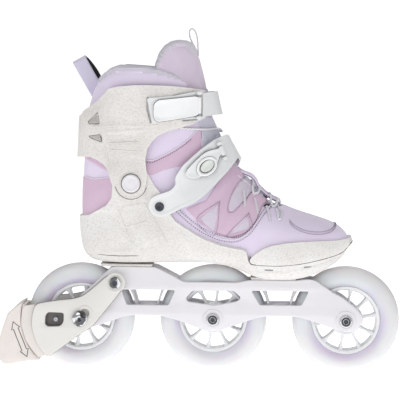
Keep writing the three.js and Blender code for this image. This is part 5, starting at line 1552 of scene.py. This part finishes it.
hingePin = tube("instepLeverPin", [hingeAt(0.01), hingeAt(0.5), hingeAt(0.99)], 1.15, steelPaint,
                "instep_lever_group", sides=14)
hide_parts("instep_lever_pin")
tube("instepBarrel", [hingeAt(0.24), hingeAt(0.5), hingeAt(0.76)], 2.6, strapPaint, "instep_lever_group",
     sides=18)
for k, (low, high) in enumerate(((-0.02, 0.1), (0.9, 1.02))):
    tube(f"instepKnuckle{k}", [hingeAt(low), hingeAt((low + high) / 2), hingeAt(high)], 3.4, strapPaint,
         "chassis", sides=18)
armFace = onBoot([(-53.6, 172.2)], arm["face"], -1)[0]
socketBolt("instepArmBolt", -53.6, 172.2, float(armFace[1]) - 0.4, 4.6, 1.8, boltPaint, "chassis", "dark_bolt",
           "instep_arm_bolt", hexRadius=2.0)

toothedOutline = [(11, 244), (20, 241), (30, 228), (25, 212), (8, 200), (-8, 186), (-30, 170), (-46, 162),
                  (-57, 167), (-55, 180), (-38, 188), (-20, 208), (-4, 228)]


def toothedRegion(x, y, z, s, q):
    return np.maximum(outlineGap(x, z, roundCorners(toothedOutline, 3.0)), -6.7 - y)


def teeth(x, y, z):
    along = (x + z * 0.85) / 1.3
    return 0.55 * (np.abs(np.sin(along * pi / 2.6)) - 0.5) * step(-outlineGap(x, z, toothedOutline), 4.5,
        6.5) * (y > 8)


toothed = bootPatch("instepToothedStrap", toothedRegion, arm["seat"], arm["seat"] + 2.6, strapPaint, "chassis",
                    qRange=(0.05, 1.3), cell=1.4, relief=teeth)
softenEdges(toothed, 0.5)
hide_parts("instep_toothed_strap")
strapFace = onBoot([(-46, 173)], arm["seat"] + 2.6, 1)[0]
socketBolt("instepStrapBolt", -46, 173, float(strapFace[1]) + 0.4, 4.6, 1.8, boltPaint, "chassis", "dark_bolt",
           "instep_strap_bolt", hexRadius=2.0)
edgeLine("gripEdge", onBoot(instepLever, arm["leverIn"] - 0.1, -1), 0.6, "instep_lever_group",
         150)
edgeLine("ringEdge", onBoot(oval(3.3, 44, -1.0), arm["leverOut"], -1), 0.42, "instep_lever_group",
         96)
edgeLine("buttonEdge", onBoot(oval(0.3), arm["leverOut"] + 0.5, -1), 0.42, "instep_lever_group",
         96)
print("instep strap made")

# pull tab: one webbing strip sewn inside the collar, folded over at the top
tab = {"from": (-118.2, 281.0), "to": (-139.8, 319.0), "width": 14.6, "half": 5.6, "wall": 0.0016}
start, end = np.array(tab["from"]), np.array(tab["to"])
along = (end - start) / np.linalg.norm(end - start)
acrossTab = np.array([along[1], -along[0]])
longTab = float(np.linalg.norm(end - start))
foldAngle = np.linspace(-pi / 2, pi / 2, 13)
rise = np.concatenate([np.linspace(-3, longTab - 3, 16), longTab - 3 + 4.2 * np.cos(foldAngle[1:-1]),
                       np.linspace(longTab - 3, -3, 16)])
depth = np.concatenate([np.full(16, -1.0), np.sin(foldAngle[1:-1]), np.full(16, 1.0)])
depth = depth * (2.6 + (tab["half"] - 2.6) * step(rise, 2, longTab * 0.6))
shift = 3.4 * step(depth, -1.0, 4.0) * np.sin(pi * np.clip(rise / longTab, 0, 1)) ** 0.8
wide = np.linspace(-0.5, 0.5, 9)
crown = 0.35 * np.cos(pi * wide)
gridX = start[0] + along[0] * rise[:, None] + acrossTab[0] * (wide * tab["width"] + shift[:, None])
gridZ = start[1] + along[1] * rise[:, None] + acrossTab[1] * (wide * tab["width"] + shift[:, None])
gridY = depth[:, None] + np.sign(depth)[:, None] * crown
points = np.stack([gridX, gridY, gridZ], -1).reshape(-1, 3)
faces = gridFaces(len(rise), 9)
steps = np.concatenate([[0], np.cumsum(np.hypot(np.diff(rise), np.diff(depth)))])
cloth = np.stack([np.tile(wide * tab["width"], len(rise)), np.repeat(steps, 9)], 1)
tabPiece = makePiece("pullTab", points, faces, [tabPaint, tabInside], "cuff_group", cloth=cloth,
                     sharp=60)
firstFace = tabPiece.data.polygons[4].normal
if firstFace.y > 0:
    tabPiece.data.flip_normals()
wall = tabPiece.modifiers.new("wall", "SOLIDIFY")
wall.thickness = tab["wall"]
wall.offset = -1
wall.material_offset = 1
wall.material_offset_rim = 0
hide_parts("pull_tab")

# finger loop of thin cord on the tongue
loopLine = [(-19.4, -2.2, 323.6), (-22.6, -3.0, 334), (-26.2, -3.2, 342), (-27.0, -2.2, 348.6),
            (-24.6, 0, 351.3), (-21.4, 2.2, 348.6), (-19.4, 3.2, 342), (-18.6, 3.0, 333), (-18.0, 2.2, 324)]
loopPiece = tube("tongueLoop", loopLine, 0.75, loopPaint, "cuff_group", sides=10, count=70)
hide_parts("tongue_loop")
print("tab and loop made")

# moulded creases on the heel of the shell
creases = ([(-96.2, 168.3), (-92.2, 158.1), (-86.1, 142.8), (-79.0, 128.5)],
           [(-69.7, 175.6), (-62.6, 164.4), (-55.5, 152.2), (-47.4, 136.9)],
           [(-89.2, 150.0), (-78.9, 153.1), (-66.7, 157.2)])
for side in (-1, 1):
    for k, line in enumerate(creases):
        piping(f"shellCrease{k}{sideName(side)}", line, 3.9, 0.8, shellPaint, side)
    # a dark line along the foot of the heel: painted shadow
    piping("shellFootLine" + sideName(side), [(-116.9, 121.2), (-96.4, 120.2), (-72.9, 121.0)], 3.75, 0.3,
           shadowLinePaint, side)

# edge shadows, painted shadow in the brake slots, and sole pads
for sign in (-1, 1):
    tag = sideName(sign)
    edge = [(x, sign * 22.5, z) for x, z in roundCorners(plateOutline, 6.0)]
    edgeLine("brakePlateEdge" + tag, edge, 0.5, "chassis", 160)
    slotEdge = [(x, sign * 25.5, z) for x, z in roundCorners(slotOutline, 2.4)]
    edgeLine("brakeSlotEdge" + tag, slotEdge, 0.35, "chassis", 80)
    # a dark plate behind each brake slot: painted shadow in the slot
    low, high = sorted((sign * 21.3, sign * 21.6))
    plate("brakeSlotShadow" + tag, [roundCorners(shrunk(slotOutline, 1.4), 2.4)], low, high, 0.1, shadowLinePaint,
          "brake_group")
solePads = {"Rear": [(-115, 108.1), (-63, 108.1), (-62, 110.6), (-116, 110.6)],
            "Front": [(39, 96.1), (84, 96.1), (85, 98.6), (38, 98.6)]}
for name, outline in solePads.items():
    plate("solePad" + name, [outline], -17, 17, 0.8, shellPaint, "chassis")

# dark ring in each axle head
for x in (0, 136):
    for sign, top in ((-1, 22.3), (1, 21.9)):
        darkRing = [(2.9, top), (4.7, top), (4.9, top + 0.25), (4.6, top + 0.4), (3.1, top + 0.4),
                    (2.9, top + 0.25)]
        lathe(f"axleRing{x}{sideName(sign)}", [(r, sign * y) for r, y in darkRing], x, axleZ, shadowPaint,
              "chassis", "steel", 48)

# laces: crossing runs over the instep between webbing eyelets
lace = {"radius": 1.45, "rows": (7.5, 8.05, 8.6, 9.15)}


def topAt(s, angle, t):
    return bootAngle(np.atleast_1d(float(s)), np.atleast_1d(abs(float(angle))),
                     np.atleast_1d(1.0 if angle > 0 else -1.0), t)[0]


lacePath = []
for k, s in enumerate(lace["rows"]):
    flip = 1 if k % 2 == 0 else -1
    for a in (0.5, 0.34, 0.17, 0.001, -0.17, -0.34, -0.5):
        lacePath.append(topAt(s + 0.22 * (0.5 - a), a * flip, 1.7 + 0.7 * math.cos(a * 2.2)))
    lacePath.append(topAt(s + 0.4, -0.62 * flip, 1.2))
lacePiece = tube("lace", lacePath, lace["radius"], lacePaint, "chassis", sides=10, flat=0.75,
                 count=320)
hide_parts("lace")
for k, s in enumerate((8.1, 8.75, 9.4)):
    for side in (-1, 1):
        points = [topAt(s + d, side * a, 0.8 + lift) for d, a,
                  lift in ((0.12, 0.74, 0.9), (0.0, 0.86, 0.5), (-0.12, 0.98, 0.2), (-0.2, 1.12, -0.2),
                           (-0.08, 1.0, 0.2), (0.02, 0.88, 0.5), (0.16, 0.76, 0.9))]
        eyelet = tube(f"laceEyelet{k}{sideName(side)}", points, 0.85, loopPaint, "chassis", sides=8,
                      count=44)
        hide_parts(f"lace_loop_{'outer' if side < 0 else 'inner'}_{k + 1}")
tailLine = [(62.5, 175.5), (66.0, 172.0), (68.6, 167.0), (68.4, 161.6), (66.2, 161.2), (65.4, 165.4),
            (63.4, 170.4)]
tube("laceTail", onBoot(tailLine, 1.3, -1), 1.2, lacePaint, "chassis", sides=10, flat=0.7, count=80)
ankleLace = onBoot([(-34, 251.4), (-26, 250.8), (-18.9, 250.4), (-8.7, 249.9)], 1.6,
                   -1).tolist() + [[1.6, -14, 250.4], [5.2, -5, 249.4], [6.4, 4, 247.0], [3.6, 14, 247.0]]
ankleLacePiece = tube("ankleLace", ankleLace, 1.25, lacePaint, None, sides=10, flat=0.75, count=90)
bendWithCuff(ankleLacePiece)
eyestay = [(24.0, 203.6), (33.6, 195.6), (43.2, 186.6), (52, 180.4), (60.4, 175.6), (69.5, 168.8),
           (74.0, 163.6)]
for side in (-1, 1):
    piping("eyestayPipe" + sideName(side), eyestay, 0.5, 0.5, pipePaint, side)
rimLine = [(19.6, 212.1), (28.9, 207.0), (37.2, 203.7), (41.8, 198.7), (44.4, 193.5), (51.7, 186.3),
           (57.9, 182.2), (66.2, 178.1)]
for side in (-1, 1):
    rimPath = [(x, side * (9.0 + 0.5 * k), z - 1.7) for k, (x, z) in enumerate(rimLine)]
    tube("eyestayRim" + sideName(side), rimPath, 1.7, lilacPaint, "chassis", sides=12, count=80)
    # a dark line along the eyestay rim: painted shadow
    tube("eyestayRimLine" + sideName(side), [(x, y - side * -1.55, z - 0.6) for x, y, z in rimPath], 0.35,
         shadowLinePaint, "chassis", sides=6, count=80)
print("laces made")

# pale floor
floorMesh = bpy.data.meshes.new("studioFloor")
floorMesh.from_pydata([(-9, -9, -0.0008), (9, -9, -0.0008), (9, 9, -0.0008), (-9, 9, -0.0008)], [],
                      [(0, 1, 2, 3)])
floor = bpy.data.objects.new("studioFloor", floorMesh)
bpy.context.scene.collection.objects.link(floor)
floorPaint = Paint("studioFloorPaint", "#FBFBFB", 0.9)
floorPaint.set("Base Color", floorPaint.mix(floorPaint.noise(floorPaint.place(), 3.0) * 0.1, "#FCFCFC",
                                            "#F6F6F6"))
floorPaint.set("Emission Color", colorOf("#FFFFFF"))
floorPaint.set("Emission Strength", brightness["floor"])
floorMesh.materials.append(floorPaint.material)
